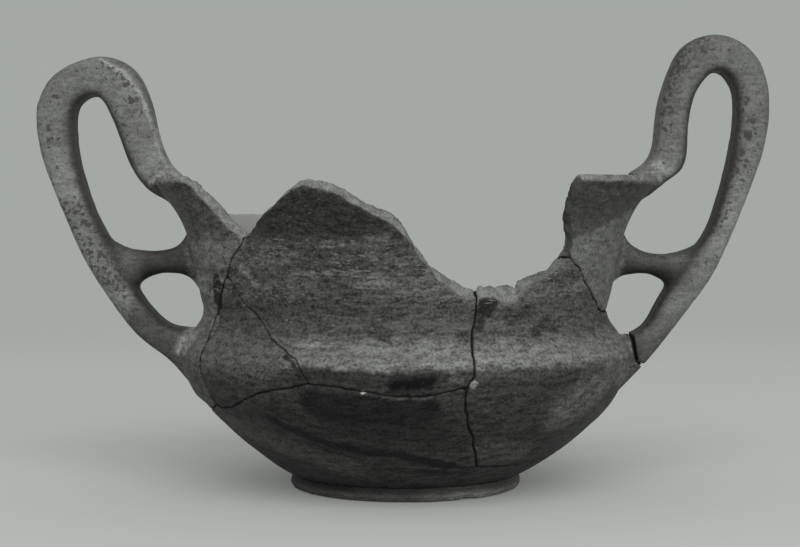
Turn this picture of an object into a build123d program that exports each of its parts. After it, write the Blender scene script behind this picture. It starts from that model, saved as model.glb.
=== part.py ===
from build123d import *
import os
from math import cos, hypot, radians, sin, sqrt

# A mended two-handled drinking cup: a thrown bowl with a keel, a ring foot, two high strap
# handles and their struts, broken into sherds that are glued together again. Upper parts of the
# wall are lost. Millimetres, +Z up, the axis of the bowl is Z, and the cup rests on Z = 0. The
# handles lie in the XZ plane. Angles on the wall are degrees about Z from +X, so -90 is the front.

# Driving sizes of the bowl: radii of the outer face and their heights
FOOT_HEIGHT = 4.6
FOOT_RADIUS = 37.8
FOOT_NECK_RADIUS = 36.8
FOOT_SIDE_BULGE = 0.2
FOOT_BORE_RADIUS = 30.0
FOOT_BORE_TAPER = 1.2
FOOT_EDGE_ROUND = 1.6
BELLY_START_RADIUS = 37.4
LOWER_WALL_RADIUS = 49.6
LOWER_WALL_HEIGHT = 11.9
BELLY_RADIUS = 61.0
BELLY_HEIGHT = 21.6
UPPER_BELLY_RADIUS = 68.9
UPPER_BELLY_HEIGHT = 30.6
KEEL_START_RADIUS = 72.9
KEEL_START_HEIGHT = 39.6
KEEL_RADIUS = 73.5
KEEL_HEIGHT = 43.3
KEEL_END_RADIUS = 72.2
KEEL_END_HEIGHT = 47.2
WAIST_START_RADIUS = 68.0
WAIST_START_HEIGHT = 53.2
WAIST_RADIUS = 66.2
WAIST_HEIGHT = 57.0
WAIST_END_RADIUS = 66.8
WAIST_END_HEIGHT = 61.2
FLARE_START_RADIUS = 70.9
FLARE_START_HEIGHT = 80.2
FLARE_RADIUS = 74.0
FLARE_HEIGHT = 88.0
FLARE_END_RADIUS = 78.9
FLARE_END_HEIGHT = 94.8
LIP_UNDERCUT_RADIUS = 80.0
LIP_UNDERCUT_HEIGHT = 97.0
LIP_RADIUS = 82.2
LIP_RADIUS_HEIGHT = 99.0
RIM_HEIGHT = 100.8

# Thickness of the fired clay, measured square to the wall
UPPER_WALL = 4.2
KEEL_WALL = 4.8
LOWER_WALL = 5.6
FLOOR_THICKNESS = 5.6
FLOOR_FLAT_RADIUS = 20.0
KEEL_INNER_DROP = 0.6
LIP_THICKNESS = 3.6
LIP_DROP = 0.7
LIP_TOP_SHARE = 0.45

# Handles: flat straps that stand in the XZ plane, and a rounded strut from each to the wall
STRAP_DEPTH = 15.4
STRAP_ROUND = 3.0
STRUT_DEPTH = 9.6
STRUT_ROUND = 2.8

# Cracks: their width, and how far the glue lies below both faces of the wall
CRACK_WIDTH = 0.6
WIDE_CRACK_WIDTH = 0.9
GLUE_RECESS = 0.4
CRACK_APEX_HEIGHT = 50.0
CRACK_REACH = 1.3

# The lost part of the wall: its fracture faces slope towards a point high on the axis
FRACTURE_APEX_HEIGHT = 120.0
LOST_TOP = 135.0
LOST_REACH = 1.35
ABOVE_RIM = RIM_HEIGHT + 5.0
FILL_TOP = 89.0
FILL_CUT_ABOVE = 4.0
FILL_START_ANGLE = 94.0
FILL_END_ANGLE = 155.1
FILL_TOP_STEPS = 6
SLIVER_VOLUME = 0.5
# Where the seam of each spun solid lies: at the back, clear of the handles and cracks
SEAM_ANGLE = 118.0

# Where each broken edge runs on the outer face, as (angle, height), once round the bowl
LOST_EDGE = [
    (-149.5, ABOVE_RIM), (-147.0, 100.5), (-144.0, 96.5), (-142.5, 92.5), (-140.5, 88.5),
    (-138.5, 85.0), (-134.5, 81.5), (-133.0, 81.5), (-130.0, 84.0), (-126.5, 87.5),
    (-123.0, 90.0), (-119.0, 93.0), (-113.5, 97.0), (-111.5, 97.3), (-109.5, 96.6),
    (-107.5, 96.0), (-104.0, 93.8), (-100.0, 90.7), (-96.0, 88.0), (-93.5, 86.0),
    (-90.5, 82.5), (-86.5, 76.5), (-82.0, 70.0), (-77.0, 65.3), (-71.8, 63.8),
    (-66.5, 64.3), (-64.3, 62.6), (-60.0, 62.8), (-59.0, 66.8), (-54.5, 69.5),
    (-51.5, 70.7), (-48.0, 72.5), (-44.6, 75.8), (-45.0, 80.0), (-47.0, 85.0),
    (-48.6, 88.0), (-50.2, 91.5), (-51.4, 94.5), (-51.6, 97.5), (-50.4, ABOVE_RIM),
    (-20.0, ABOVE_RIM), (12.0, ABOVE_RIM), (36.0, ABOVE_RIM), (34.0, 95.0), (31.0, 85.0),
    (33.0, 74.0), (39.0, 65.0), (48.0, 58.0), (58.0, 54.0), (68.0, 54.5), (77.0, 59.0),
    (84.0, 66.0), (90.0, 75.0), (93.0, 80.0), (94.5, 84.0), (96.0, FILL_TOP + FILL_CUT_ABOVE),
    (125.0, FILL_TOP + FILL_CUT_ABOVE), (FILL_END_ANGLE, FILL_TOP + FILL_CUT_ABOVE),
    (156.5, ABOVE_RIM), (175.0, ABOVE_RIM), (-167.0, ABOVE_RIM),
]

# Cracks between the sherds, as (angle, height) on the outer face
LEFT_HANDLE_CRACK = [
    (-129.0, 91.0), (-134.0, 81.5), (-137.0, 78.2), (-140.0, 75.0), (-143.0, 70.3), (-146.0, 67.5),
    (-149.5, 63.5), (-152.3, 58.5), (-151.0, 54.5), (-150.5, 52.0), (-151.8, 47.0),
    (-150.5, 41.0), (-149.7, 35.0), (-150.3, 30.0),
]
LEFT_SHOULDER_CRACK = [
    (-143.0, 70.3), (-140.5, 67.0), (-137.5, 62.5), (-131.0, 56.5), (-126.0, 52.0), (-117.0, 46.5),
    (-113.0, 39.5),
]
BASE_FRONT_CRACK = [
    (-150.3, 30.0), (-148.0, 28.8), (-141.5, 30.0), (-135.5, 32.2), (-131.0, 34.5), (-127.0, 36.0),
    (-121.0, 37.7), (-113.0, 39.5), (-109.0, 39.3), (-101.5, 38.0), (-95.5, 36.7), (-88.5, 36.1),
    (-82.5, 37.0), (-76.0, 38.6),
]
RIGHT_BODY_CRACK = [
    (-71.0, 74.0), (-71.9, 64.0), (-72.5, 56.6), (-74.1, 51.0), (-74.4, 42.0), (-76.0, 38.6),
    (-76.0, 34.5), (-75.3, 30.7), (-73.8, 26.4), (-71.3, 23.0), (-69.5, 19.0), (-64.3, 12.2),
]
RIGHT_HANDLE_CRACK = [
    (-48.5, 80.0), (-44.8, 76.6), (-42.0, 74.5), (-39.0, 71.8), (-35.3, 68.0), (-31.0, 64.6),
    (-24.2, 59.6), (-18.4, 58.3), (-8.0, 57.6), (6.0, 58.8), (20.0, 62.5), (31.0, 69.0),
    (38.0, 77.0),
]
BASE_RIGHT_CRACK = [
    (-64.3, 12.2), (-54.4, 11.5), (-43.2, 11.0), (-32.9, 11.9), (-18.0, 13.0), (0.0, 12.0),
    (16.0, 13.5), (32.0, 15.5), (46.0, 19.5),
]
BASE_BACK_CRACK = [
    (46.0, 19.5), (62.0, 23.5), (82.0, 27.0), (100.0, 30.5), (124.0, 28.0), (148.0, 30.5),
    (166.0, 27.5), (181.0, 25.5), (196.0, 27.0), (209.7, 30.0),
]
LEFT_HANDLE_BACK_CRACK = [
    (FILL_END_ANGLE, 96.0), (FILL_END_ANGLE, 86.0), (159.0, 74.0), (164.5, 60.0), (162.0, 47.0),
    (166.5, 36.0), (166.0, 27.5),
]
FILL_CRACK = [
    (87.0, 87.0), (94.0, 78.5), (98.0, 66.0), (95.5, 52.0), (99.0, 40.0), (100.0, 30.5),
]
BACK_CENTRE_CRACK = [
    (54.0, 67.0), (51.0, 52.0), (53.5, 42.0), (48.0, 31.0), (46.0, 19.5),
]

# Outlines of the handles in the XZ plane as (x, z): the side away from the loop, then the side
# that faces it, both from the rim to the lower root
LEFT_STRAP_BACK = [
    (-72.5, 101.8), (-76.6, 104.4), (-79.6, 109.4), (-82.3, 119.7), (-85.0, 129.3), (-89.8, 137.2),
    (-96.8, 140.8), (-106.6, 139.4), (-116.2, 132.8), (-120.3, 123.5), (-119.2, 111.7),
    (-115.4, 97.9), (-109.9, 84.5), (-103.3, 70.8), (-96.8, 60.9), (-90.2, 52.1), (-83.7, 45.9),
    (-77.1, 41.0), (-71.2, 34.6), (-64.0, 29.8),
]
LEFT_STRAP_LOOP = [
    (-73.0, 92.4), (-79.6, 94.2), (-84.3, 97.0), (-88.9, 102.9), (-93.5, 114.0), (-97.4, 123.2),
    (-101.6, 127.9), (-106.6, 125.6), (-108.3, 117.8), (-106.9, 105.4), (-103.6, 93.8),
    (-98.3, 82.4), (-93.2, 73.4), (-88.3, 64.8), (-83.0, 57.5), (-77.6, 53.0), (-71.7, 51.5),
    (-64.0, 51.0),
]
RIGHT_STRAP_BACK = [
    (73.0, 102.2), (77.0, 104.4), (80.9, 108.8), (82.1, 115.9), (83.3, 125.3), (86.3, 135.3),
    (91.9, 144.6), (100.4, 148.1), (107.9, 146.7), (114.6, 141.8), (118.9, 132.6), (119.6, 121.0),
    (115.6, 102.9), (111.2, 91.1), (106.3, 79.6), (99.7, 67.5), (93.2, 58.3), (86.6, 49.8),
    (80.1, 42.3), (73.5, 35.4), (65.5, 27.0),
]
RIGHT_STRAP_LOOP = [
    (74.0, 91.0), (80.5, 94.8), (85.8, 98.8), (90.7, 103.8), (92.5, 113.3), (93.8, 124.8),
    (97.4, 132.4), (102.7, 136.0), (107.2, 132.2), (108.7, 122.6), (106.9, 108.7), (102.9, 93.8),
    (99.6, 84.8), (92.8, 75.2), (86.0, 65.8), (82.0, 59.2), (77.3, 52.0), (72.0, 49.2),
    (64.0, 47.0),
]
LEFT_STRUT_TOP = [
    (-105.5, 80.8), (-101.0, 81.2), (-96.6, 80.3), (-91.4, 78.0), (-85.4, 77.0), (-79.2, 77.2),
    (-74.2, 79.2), (-71.6, 83.2), (-68.0, 88.0),
]
LEFT_STRUT_UNDERSIDE = [
    (-93.0, 60.5), (-89.2, 64.6), (-85.6, 67.8), (-81.0, 69.6), (-75.0, 69.5), (-70.6, 68.0),
    (-67.8, 64.8), (-64.0, 60.0),
]
RIGHT_STRUT_TOP = [
    (104.5, 80.2), (100.4, 80.4), (95.9, 79.3), (91.0, 77.1), (85.2, 75.9), (79.2, 76.6),
    (74.2, 78.8), (71.4, 83.2), (67.5, 88.0),
]
RIGHT_STRUT_UNDERSIDE = [
    (90.5, 60.5), (87.4, 64.4), (83.8, 67.4), (79.2, 69.2), (74.6, 69.3), (70.2, 68.2),
    (67.4, 65.2), (64.0, 60.5),
]
# The break that parts the right handle from its lower root, as (x, z)
ROOT_BREAK = [
    (72.0, 54.0), (73.9, 49.0), (74.8, 44.0), (75.4, 41.4), (80.5, 37.5),
]
ROOT_BREAK_WIDTH = 0.8
# How deep in the wall the root's stub starts, where the two are one piece of clay
STUB_SEAT = 1.6


def unit(dr, dz):
    length = hypot(dr, dz)
    return dr / length, dz / length


def inward(point, before, after, thickness):
    """The point at the given depth below an outer point, square to the wall there."""
    dr, dz = unit(after[0] - before[0], after[1] - before[1])
    return point[0] - dz * thickness, point[1] + dr * thickness


FOOT_JOINT = (BELLY_START_RADIUS, FOOT_HEIGHT)
LOWER_WALL_POINT = (LOWER_WALL_RADIUS, LOWER_WALL_HEIGHT)
BELLY = (BELLY_RADIUS, BELLY_HEIGHT)
UPPER_BELLY = (UPPER_BELLY_RADIUS, UPPER_BELLY_HEIGHT)
KEEL_START = (KEEL_START_RADIUS, KEEL_START_HEIGHT)
KEEL = (KEEL_RADIUS, KEEL_HEIGHT)
KEEL_END = (KEEL_END_RADIUS, KEEL_END_HEIGHT)
WAIST_START = (WAIST_START_RADIUS, WAIST_START_HEIGHT)
WAIST = (WAIST_RADIUS, WAIST_HEIGHT)
WAIST_END = (WAIST_END_RADIUS, WAIST_END_HEIGHT)
FLARE_START = (FLARE_START_RADIUS, FLARE_START_HEIGHT)
FLARE = (FLARE_RADIUS, FLARE_HEIGHT)
FLARE_END = (FLARE_END_RADIUS, FLARE_END_HEIGHT)
LIP_UNDERCUT = (LIP_UNDERCUT_RADIUS, LIP_UNDERCUT_HEIGHT)
LIP_EDGE = (LIP_RADIUS, LIP_RADIUS_HEIGHT)
LIP_TOP = (LIP_RADIUS - LIP_TOP_SHARE * LIP_THICKNESS, RIM_HEIGHT)
LIP_INSIDE = (LIP_RADIUS - LIP_THICKNESS, RIM_HEIGHT - LIP_DROP)

# The outer face from the foot to the lip as stretches of two points (straight) or three (an arc)
OUTER_STRETCHES = [
    (FOOT_JOINT, LOWER_WALL_POINT, BELLY),
    (BELLY, UPPER_BELLY, KEEL_START),
    (KEEL_START, KEEL, KEEL_END),
    (KEEL_END, WAIST_START),
    (WAIST_START, WAIST, WAIST_END),
    (WAIST_END, FLARE_START),
    (FLARE_START, FLARE, FLARE_END),
    (FLARE_END, LIP_UNDERCUT),
    (LIP_UNDERCUT, LIP_EDGE),
]
# How many of those stretches lie below the lip
FLARE_STRETCHES = 7


def on_axis_plane(point):
    return point[0], 0.0, point[1]


def spun(section):
    """A half section turned once about Z, with its seam at the back."""
    return revolve(section, Axis.Z).rotate(Axis.Z, SEAM_ANGLE)


def stretch_edge(stretch):
    if len(stretch) == 3:
        return ThreePointArc(*[on_axis_plane(point) for point in stretch])
    return Line(*[on_axis_plane(point) for point in stretch])


def inner_stretches():
    """The inner face, which follows the outer one at the thickness of the wall."""
    floor_height = FOOT_HEIGHT + FLOOR_THICKNESS
    lower = inward(LOWER_WALL_POINT, FOOT_JOINT, BELLY, LOWER_WALL)
    belly = inward(BELLY, LOWER_WALL_POINT, UPPER_BELLY, LOWER_WALL)
    upper_belly = inward(UPPER_BELLY, BELLY, KEEL_START, KEEL_WALL)
    keel_start = (KEEL_START_RADIUS - KEEL_WALL, KEEL_START_HEIGHT)
    keel = (KEEL_RADIUS - KEEL_WALL, KEEL_HEIGHT - KEEL_INNER_DROP)
    keel_end = inward(KEEL_END, KEEL, WAIST_START, UPPER_WALL)
    waist_start = inward(WAIST_START, KEEL_END, WAIST, UPPER_WALL)
    waist = (WAIST_RADIUS - UPPER_WALL, WAIST_HEIGHT)
    waist_end = inward(WAIST_END, WAIST, FLARE_START, UPPER_WALL)
    flare_start = inward(FLARE_START, WAIST_END, FLARE, UPPER_WALL)
    flare = inward(FLARE, FLARE_START, FLARE_END, UPPER_WALL)
    flare_end = inward(FLARE_END, FLARE, LIP_UNDERCUT, LIP_THICKNESS)
    return [
        ((0.0, floor_height), (FLOOR_FLAT_RADIUS, floor_height)),
        ((FLOOR_FLAT_RADIUS, floor_height), lower, belly),
        (belly, upper_belly, keel_start),
        (keel_start, keel, keel_end),
        (keel_end, waist_start),
        (waist_start, waist, waist_end),
        (waist_end, flare_start),
        (flare_start, flare, flare_end),
    ]


def bowl_profile():
    """Half section of the thrown bowl in the XZ plane, from its underside to the lip."""
    inner = inner_stretches()
    edges = [stretch_edge(stretch) for stretch in OUTER_STRETCHES]
    edges.append(stretch_edge((LIP_EDGE, LIP_TOP, LIP_INSIDE)))
    edges.append(stretch_edge((LIP_INSIDE, inner[-1][-1])))
    edges += [stretch_edge(stretch) for stretch in reversed(inner)]
    edges.append(stretch_edge((inner[0][0], (0.0, FOOT_HEIGHT))))
    edges.append(stretch_edge(((0.0, FOOT_HEIGHT), FOOT_JOINT)))
    return make_face(Wire.combine(edges)[0])


def moved(stretches, depth):
    """The same run of stretches, moved by depth to the left of its way."""
    chain = [stretches[0][0]] + [point for stretch in stretches for point in stretch[1:]]
    places = {}
    for i, point in enumerate(chain):
        before, after = chain[max(i - 1, 0)], chain[min(i + 1, len(chain) - 1)]
        places[point] = inward(point, before, after, depth)
    return [tuple(places[point] for point in stretch) for stretch in stretches]


def glue_profile():
    """Half section of the clay that glue reaches: the wall less a thin skin on both faces."""
    outer = moved(OUTER_STRETCHES[:FLARE_STRETCHES], GLUE_RECESS)
    inner = moved(inner_stretches(), -GLUE_RECESS)
    underside = FOOT_HEIGHT + GLUE_RECESS
    floor_top = (0.0, inner[0][0][1])
    edges = [stretch_edge(stretch) for stretch in outer]
    edges.append(stretch_edge((outer[-1][-1], inner[-1][-1])))
    edges += [stretch_edge(stretch) for stretch in inner]
    edges.append(stretch_edge((floor_top, (0.0, underside))))
    edges.append(stretch_edge(((0.0, underside), outer[0][0])))
    return make_face(Wire.combine(edges)[0])


def outer_radius(height):
    """Radius of the outer face at a height, from the same stretches as the profile."""
    for stretch in OUTER_STRETCHES:
        if stretch[0][1] <= height <= stretch[-1][1]:
            return stretch_radius(stretch, height)
    return LIP_RADIUS


def stretch_radius(stretch, height):
    (r0, z0), (r1, z1) = stretch[0], stretch[-1]
    share = (height - z0) / (z1 - z0)
    chord = r0 + (r1 - r0) * share
    if len(stretch) == 2:
        return chord
    centre, radius = circle_through(stretch)
    bulge = sqrt(max(radius ** 2 - (height - centre[1]) ** 2, 0.0))
    options = (centre[0] + bulge, centre[0] - bulge)
    return min(options, key=lambda r: abs(r - chord))


def circle_through(points):
    """Centre and radius of the circle through three points."""
    (ax, ay), (bx, by), (cx, cy) = points
    d = 2.0 * (ax * (by - cy) + bx * (cy - ay) + cx * (ay - by))
    a2, b2, c2 = ax ** 2 + ay ** 2, bx ** 2 + by ** 2, cx ** 2 + cy ** 2
    ux = (a2 * (by - cy) + b2 * (cy - ay) + c2 * (ay - by)) / d
    uy = (a2 * (cx - bx) + b2 * (ax - cx) + c2 * (bx - ax)) / d
    return (ux, uy), hypot(ax - ux, ay - uy)


def wall_point(place, depth=0.0):
    """The point on the wall at (angle, height), moved towards the axis by depth."""
    angle, height = place
    radius = outer_radius(height) - depth
    return Vector(radius * cos(radians(angle)), radius * sin(radians(angle)), height)


def faceted_solid(corners, faces):
    """A closed solid from its corner points and the corner numbers of each flat face."""
    made = [Face(Wire.make_polygon([corners[i] for i in face])) for face in faces]
    return Solid(Shell(made))


def crack_cutter(places, width):
    """A thin blade that follows a crack: it fans out from the axis and has flat facets."""
    apex = Vector(0, 0, CRACK_APEX_HEIGHT)
    points = [wall_point(place) for place in places]
    count = len(points)
    sides = ([], [])
    for i, point in enumerate(points):
        along = points[min(i + 1, count - 1)] - points[max(i - 1, 0)]
        ray = point - apex
        aside = along.cross(ray).normalized() * (width / 2)
        for side, sign in zip(sides, (1, -1)):
            side.append(apex + (point + aside * sign - apex) * CRACK_REACH)
    corners = [apex] + sides[0] + sides[1]
    left = [1 + i for i in range(count)]
    right = [1 + count + i for i in range(count)]
    faces = [(0, right[0], left[0]), (0, left[-1], right[-1])]
    for i in range(count - 1):
        faces.append((0, left[i], left[i + 1]))
        faces.append((0, right[i + 1], right[i]))
        faces.append((left[i], right[i], right[i + 1]))
        faces.append((left[i], right[i + 1], left[i + 1]))
    return faceted_solid(corners, faces)


def lost_wall_cutter():
    """All that lies above the broken edge: a faceted funnel with its point high on the axis."""
    apex = Vector(0, 0, FRACTURE_APEX_HEIGHT)
    low = []
    for place in LOST_EDGE:
        low.append(apex + (wall_point(place) - apex) * LOST_REACH)
    high = [Vector(point.X, point.Y, LOST_TOP) for point in low]
    count = len(low)
    corners = [apex] + low + high
    faces = [tuple(1 + count + i for i in range(count))]
    for i in range(count):
        j = (i + 1) % count
        faces.append((0, 1 + i, 1 + j))
        faces.append((1 + i, 1 + count + i, 1 + count + j, 1 + j))
    return faceted_solid(corners, faces)


def fill_top_cutter():
    """Cuts the restorer's fill off level: a sector of a flat disc above its top."""
    reach = LIP_RADIUS * LOST_REACH
    corners = [Vector(0, 0, FILL_TOP)]
    for i in range(FILL_TOP_STEPS + 1):
        share = i / FILL_TOP_STEPS
        angle = radians(FILL_START_ANGLE + (FILL_END_ANGLE - FILL_START_ANGLE) * share)
        corners.append(Vector(reach * cos(angle), reach * sin(angle), FILL_TOP))
    return Solid.extrude(Face(Wire.make_polygon(corners)), Vector(0, 0, LOST_TOP - FILL_TOP))


def filled_belly(depth):
    """The bowl with no hollow and its outer face moved in by depth, up to below the lip."""
    outer = moved(OUTER_STRETCHES[:FLARE_STRETCHES], depth)
    top_middle = (0.0, outer[-1][-1][1])
    bottom_middle = (0.0, outer[0][0][1])
    edges = [stretch_edge(stretch) for stretch in outer]
    edges.append(stretch_edge((outer[-1][-1], top_middle)))
    edges.append(stretch_edge((top_middle, bottom_middle)))
    edges.append(stretch_edge((bottom_middle, outer[0][0])))
    return spun(make_face(Wire.combine(edges)[0]))


def filled_bowl():
    """The bowl with no hollow, up to the lip: what the handles are fitted against."""
    edges = [stretch_edge(stretch) for stretch in OUTER_STRETCHES]
    edges.append(stretch_edge((LIP_EDGE, LIP_TOP, LIP_INSIDE)))
    top_middle = (0.0, LIP_INSIDE[1])
    edges.append(stretch_edge((LIP_INSIDE, top_middle)))
    edges.append(stretch_edge((top_middle, (0.0, FOOT_HEIGHT))))
    edges.append(stretch_edge(((0.0, FOOT_HEIGHT), FOOT_JOINT)))
    return spun(make_face(Wire.combine(edges)[0]))


def foot_ring():
    """The ring foot, luted under the floor: rounded at its resting edge, drawn in at its neck."""
    edge_middle = FOOT_EDGE_ROUND * (1 - sqrt(0.5))
    bottom = (FOOT_RADIUS - FOOT_EDGE_ROUND, 0.0)
    rounded = (FOOT_RADIUS - edge_middle, edge_middle)
    widest = (FOOT_RADIUS, FOOT_EDGE_ROUND)
    side_radius = (FOOT_RADIUS + FOOT_NECK_RADIUS) / 2 + FOOT_SIDE_BULGE
    side = (side_radius, (FOOT_EDGE_ROUND + FOOT_HEIGHT) / 2)
    neck = (FOOT_NECK_RADIUS, FOOT_HEIGHT)
    bore_top = (FOOT_BORE_RADIUS + FOOT_BORE_TAPER, FOOT_HEIGHT)
    bore = (FOOT_BORE_RADIUS, 0.0)
    stretches = [
        (bottom, rounded, widest), (widest, side, neck), (neck, bore_top),
        (bore_top, bore), (bore, bottom),
    ]
    section = make_face(Wire.combine([stretch_edge(stretch) for stretch in stretches])[0])
    return spun(section)


def plate_between(first_side, second_side, depth):
    """A flat plate along the XZ plane between two outlines."""
    first = [(x, -depth / 2, z) for x, z in first_side]
    second = [(x, -depth / 2, z) for x, z in second_side]
    ends = [Line(first[0], second[0]), Line(first[-1], second[-1])]
    outline = make_face(Wire.combine([Spline(*first), Spline(*second)] + ends)[0])
    return extrude(outline, amount=depth, dir=(0, 1, 0))


def with_round_edges(plate, rounding):
    """The plate with the two long edges of its front and of its back face rounded."""
    layers = plate.edges().group_by(Axis.Y)
    long_edges = [edge for layer in (layers[0], layers[-1]) for edge in layer.sort_by(SortBy.LENGTH)[-2:]]
    return fillet(long_edges, rounding)


def root_break_blade(depth):
    """The blade of the break in the right handle's root: a thin wall that stands along Y."""
    sides = ([], [])
    count = len(ROOT_BREAK)
    for i, (x, z) in enumerate(ROOT_BREAK):
        before, after = ROOT_BREAK[max(i - 1, 0)], ROOT_BREAK[min(i + 1, count - 1)]
        dx, dz = unit(after[0] - before[0], after[1] - before[1])
        for side, sign in zip(sides, (0.5, -0.5)):
            shift = ROOT_BREAK_WIDTH * sign
            side.append(Vector(x - dz * shift, -depth / 2, z + dx * shift))
    outline = Face(Wire.make_polygon(sides[0] + sides[1][::-1]))
    return Solid.extrude(outline, Vector(0, depth, 0))


def as_solids(shape):
    """The solids of a result, largest first, without slivers."""
    solids = [solid for solid in shape.solids() if solid.volume > SLIVER_VOLUME]
    return sorted(solids, key=lambda solid: -solid.volume)


def piece_at(solids, place):
    """The piece that holds a place in the middle of the wall, or lies nearest to it."""
    middle = wall_point(place, UPPER_WALL / 2)
    return min(solids, key=lambda solid: solid.distance_to(middle))


SHERDS = {
    "left_handle_sherd": (-165.0, 70.0),
    "left_shoulder_sherd": (-135.0, 46.0),
    "front_peak_sherd": (-105.0, 72.0),
    "base_sherd": (-90.0, 20.0),
    "right_body_sherd": (-50.0, 45.0),
    "right_handle_sherd": (-25.0, 85.0),
    "back_right_sherd": (75.0, 42.0),
    "back_left_fill": (128.0, 60.0),
}

GLUE_LINES = {
    "left_handle_front_glue": (LEFT_HANDLE_CRACK, WIDE_CRACK_WIDTH),
    "base_front_glue": (BASE_FRONT_CRACK, CRACK_WIDTH),
    "right_body_glue": (RIGHT_BODY_CRACK, WIDE_CRACK_WIDTH),
    "right_handle_glue": (RIGHT_HANDLE_CRACK, WIDE_CRACK_WIDTH),
    "left_shoulder_glue": (LEFT_SHOULDER_CRACK, CRACK_WIDTH),
    "base_right_glue": (BASE_RIGHT_CRACK, CRACK_WIDTH),
    "base_back_glue": (BASE_BACK_CRACK, CRACK_WIDTH),
    "left_handle_back_glue": (LEFT_HANDLE_BACK_CRACK, CRACK_WIDTH),
    "fill_side_glue": (FILL_CRACK, CRACK_WIDTH),
    "back_right_glue": (BACK_CENTRE_CRACK, CRACK_WIDTH),
}


def broken_bowl():
    """The sherds and the films of glue between them, by name."""
    pieces = {}
    lost = [lost_wall_cutter(), fill_top_cutter()]
    cutters = {name: crack_cutter(line, width) for name, (line, width) in GLUE_LINES.items()}
    wall = spun(bowl_profile()).cut(*lost)
    solids = as_solids(wall.cut(*cutters.values()))
    for name, place in SHERDS.items():
        pieces[name] = piece_at(solids, place)
    core = spun(glue_profile()).cut(*lost)
    earlier = []
    for name, cutter in cutters.items():
        film = as_solids(core.intersect(cutter))[0]
        if earlier:
            film = as_solids(film.cut(*earlier))[0]
        pieces[name] = film
        earlier.append(cutter)
    return pieces


def fitted_strap(back, loop, bowl):
    """A strap, cut to lie on the outer face of the bowl it is given."""
    strap = with_round_edges(plate_between(back, loop, STRAP_DEPTH), STRAP_ROUND)
    return as_solids(strap.cut(bowl))[0]


def fitted_strut(top, underside, strap_back, strap_loop):
    """A strut, cut to lie between the bowl's outer face and the flat of its strap."""
    strut = with_round_edges(plate_between(top, underside, STRUT_DEPTH), STRUT_ROUND)
    on_wall = as_solids(strut.cut(filled_bowl()))[0]
    return as_solids(on_wall.cut(plate_between(strap_back, strap_loop, STRAP_DEPTH)))[0]


def build():
    pieces = broken_bowl()
    pieces["foot_ring"] = foot_ring()
    left_strap = fitted_strap(LEFT_STRAP_BACK, LEFT_STRAP_LOOP, filled_bowl())
    right_strap = fitted_strap(RIGHT_STRAP_BACK, RIGHT_STRAP_LOOP, filled_bowl())
    seated = fitted_strap(RIGHT_STRAP_BACK, RIGHT_STRAP_LOOP, filled_belly(STUB_SEAT))
    pieces["left_handle_strap"] = left_strap

    pieces["right_handle_strap"] = as_solids(right_strap.cut(root_break_blade(2 * STRAP_DEPTH)))[0]
    stub = as_solids(seated.cut(root_break_blade(2 * STRAP_DEPTH)))[1]
    pieces["right_body_sherd"] = as_solids(pieces["right_body_sherd"].fuse(stub))[0]
    glue = root_break_blade(STRAP_DEPTH - 2 * GLUE_RECESS)
    pieces["right_root_glue"] = as_solids(right_strap.intersect(glue))[0]

    pieces["left_handle_strut"] = fitted_strut(
        LEFT_STRUT_TOP, LEFT_STRUT_UNDERSIDE, LEFT_STRAP_BACK, LEFT_STRAP_LOOP)
    pieces["right_handle_strut"] = fitted_strut(
        RIGHT_STRUT_TOP, RIGHT_STRUT_UNDERSIDE, RIGHT_STRAP_BACK, RIGHT_STRAP_LOOP)
    return pieces


def save(pieces):
    os.makedirs("parts", exist_ok=True)
    for name, solid in pieces.items():
        solid.label = name
        export_step(solid, os.path.join("parts", name + ".step"))
        print(name, "volume", round(solid.volume), "valid", solid.is_valid)


save(build())
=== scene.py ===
from math import atan2, cos, hypot, pi, radians, sin

import bpy
import numpy as np
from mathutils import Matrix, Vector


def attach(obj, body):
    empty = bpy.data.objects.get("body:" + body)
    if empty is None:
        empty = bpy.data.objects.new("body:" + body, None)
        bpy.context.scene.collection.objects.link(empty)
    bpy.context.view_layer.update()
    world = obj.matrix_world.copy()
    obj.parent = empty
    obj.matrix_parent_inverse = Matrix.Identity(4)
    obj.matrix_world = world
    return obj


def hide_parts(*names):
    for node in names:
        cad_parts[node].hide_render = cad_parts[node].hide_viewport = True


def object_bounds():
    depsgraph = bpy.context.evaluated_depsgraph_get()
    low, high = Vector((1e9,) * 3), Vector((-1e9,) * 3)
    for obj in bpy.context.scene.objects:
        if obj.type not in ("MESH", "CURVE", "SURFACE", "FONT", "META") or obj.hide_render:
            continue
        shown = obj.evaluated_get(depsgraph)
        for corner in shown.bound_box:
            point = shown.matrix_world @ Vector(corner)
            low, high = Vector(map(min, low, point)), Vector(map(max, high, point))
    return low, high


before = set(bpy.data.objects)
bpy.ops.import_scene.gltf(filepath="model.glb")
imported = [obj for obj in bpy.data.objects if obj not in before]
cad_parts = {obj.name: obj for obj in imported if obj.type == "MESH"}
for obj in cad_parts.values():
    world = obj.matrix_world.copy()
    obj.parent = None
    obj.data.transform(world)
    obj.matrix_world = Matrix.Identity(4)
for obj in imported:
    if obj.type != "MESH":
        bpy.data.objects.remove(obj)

# The look of a mended two-handled cup: each sherd of the model is made again as one fine closed
# mesh, worn and chipped along its breaks, with thin dark slip over pale clay. The script works in
# millimetres and writes its meshes in metres. +Z is up, the axis of the bowl is Z, and the
# handles lie in the XZ plane. Angles on the wall are degrees about Z from +X, so -90 is the front.

CAD_LOW, CAD_HIGH = [np.array(corner) * 1000.0 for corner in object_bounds()]
MM = 0.001

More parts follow.
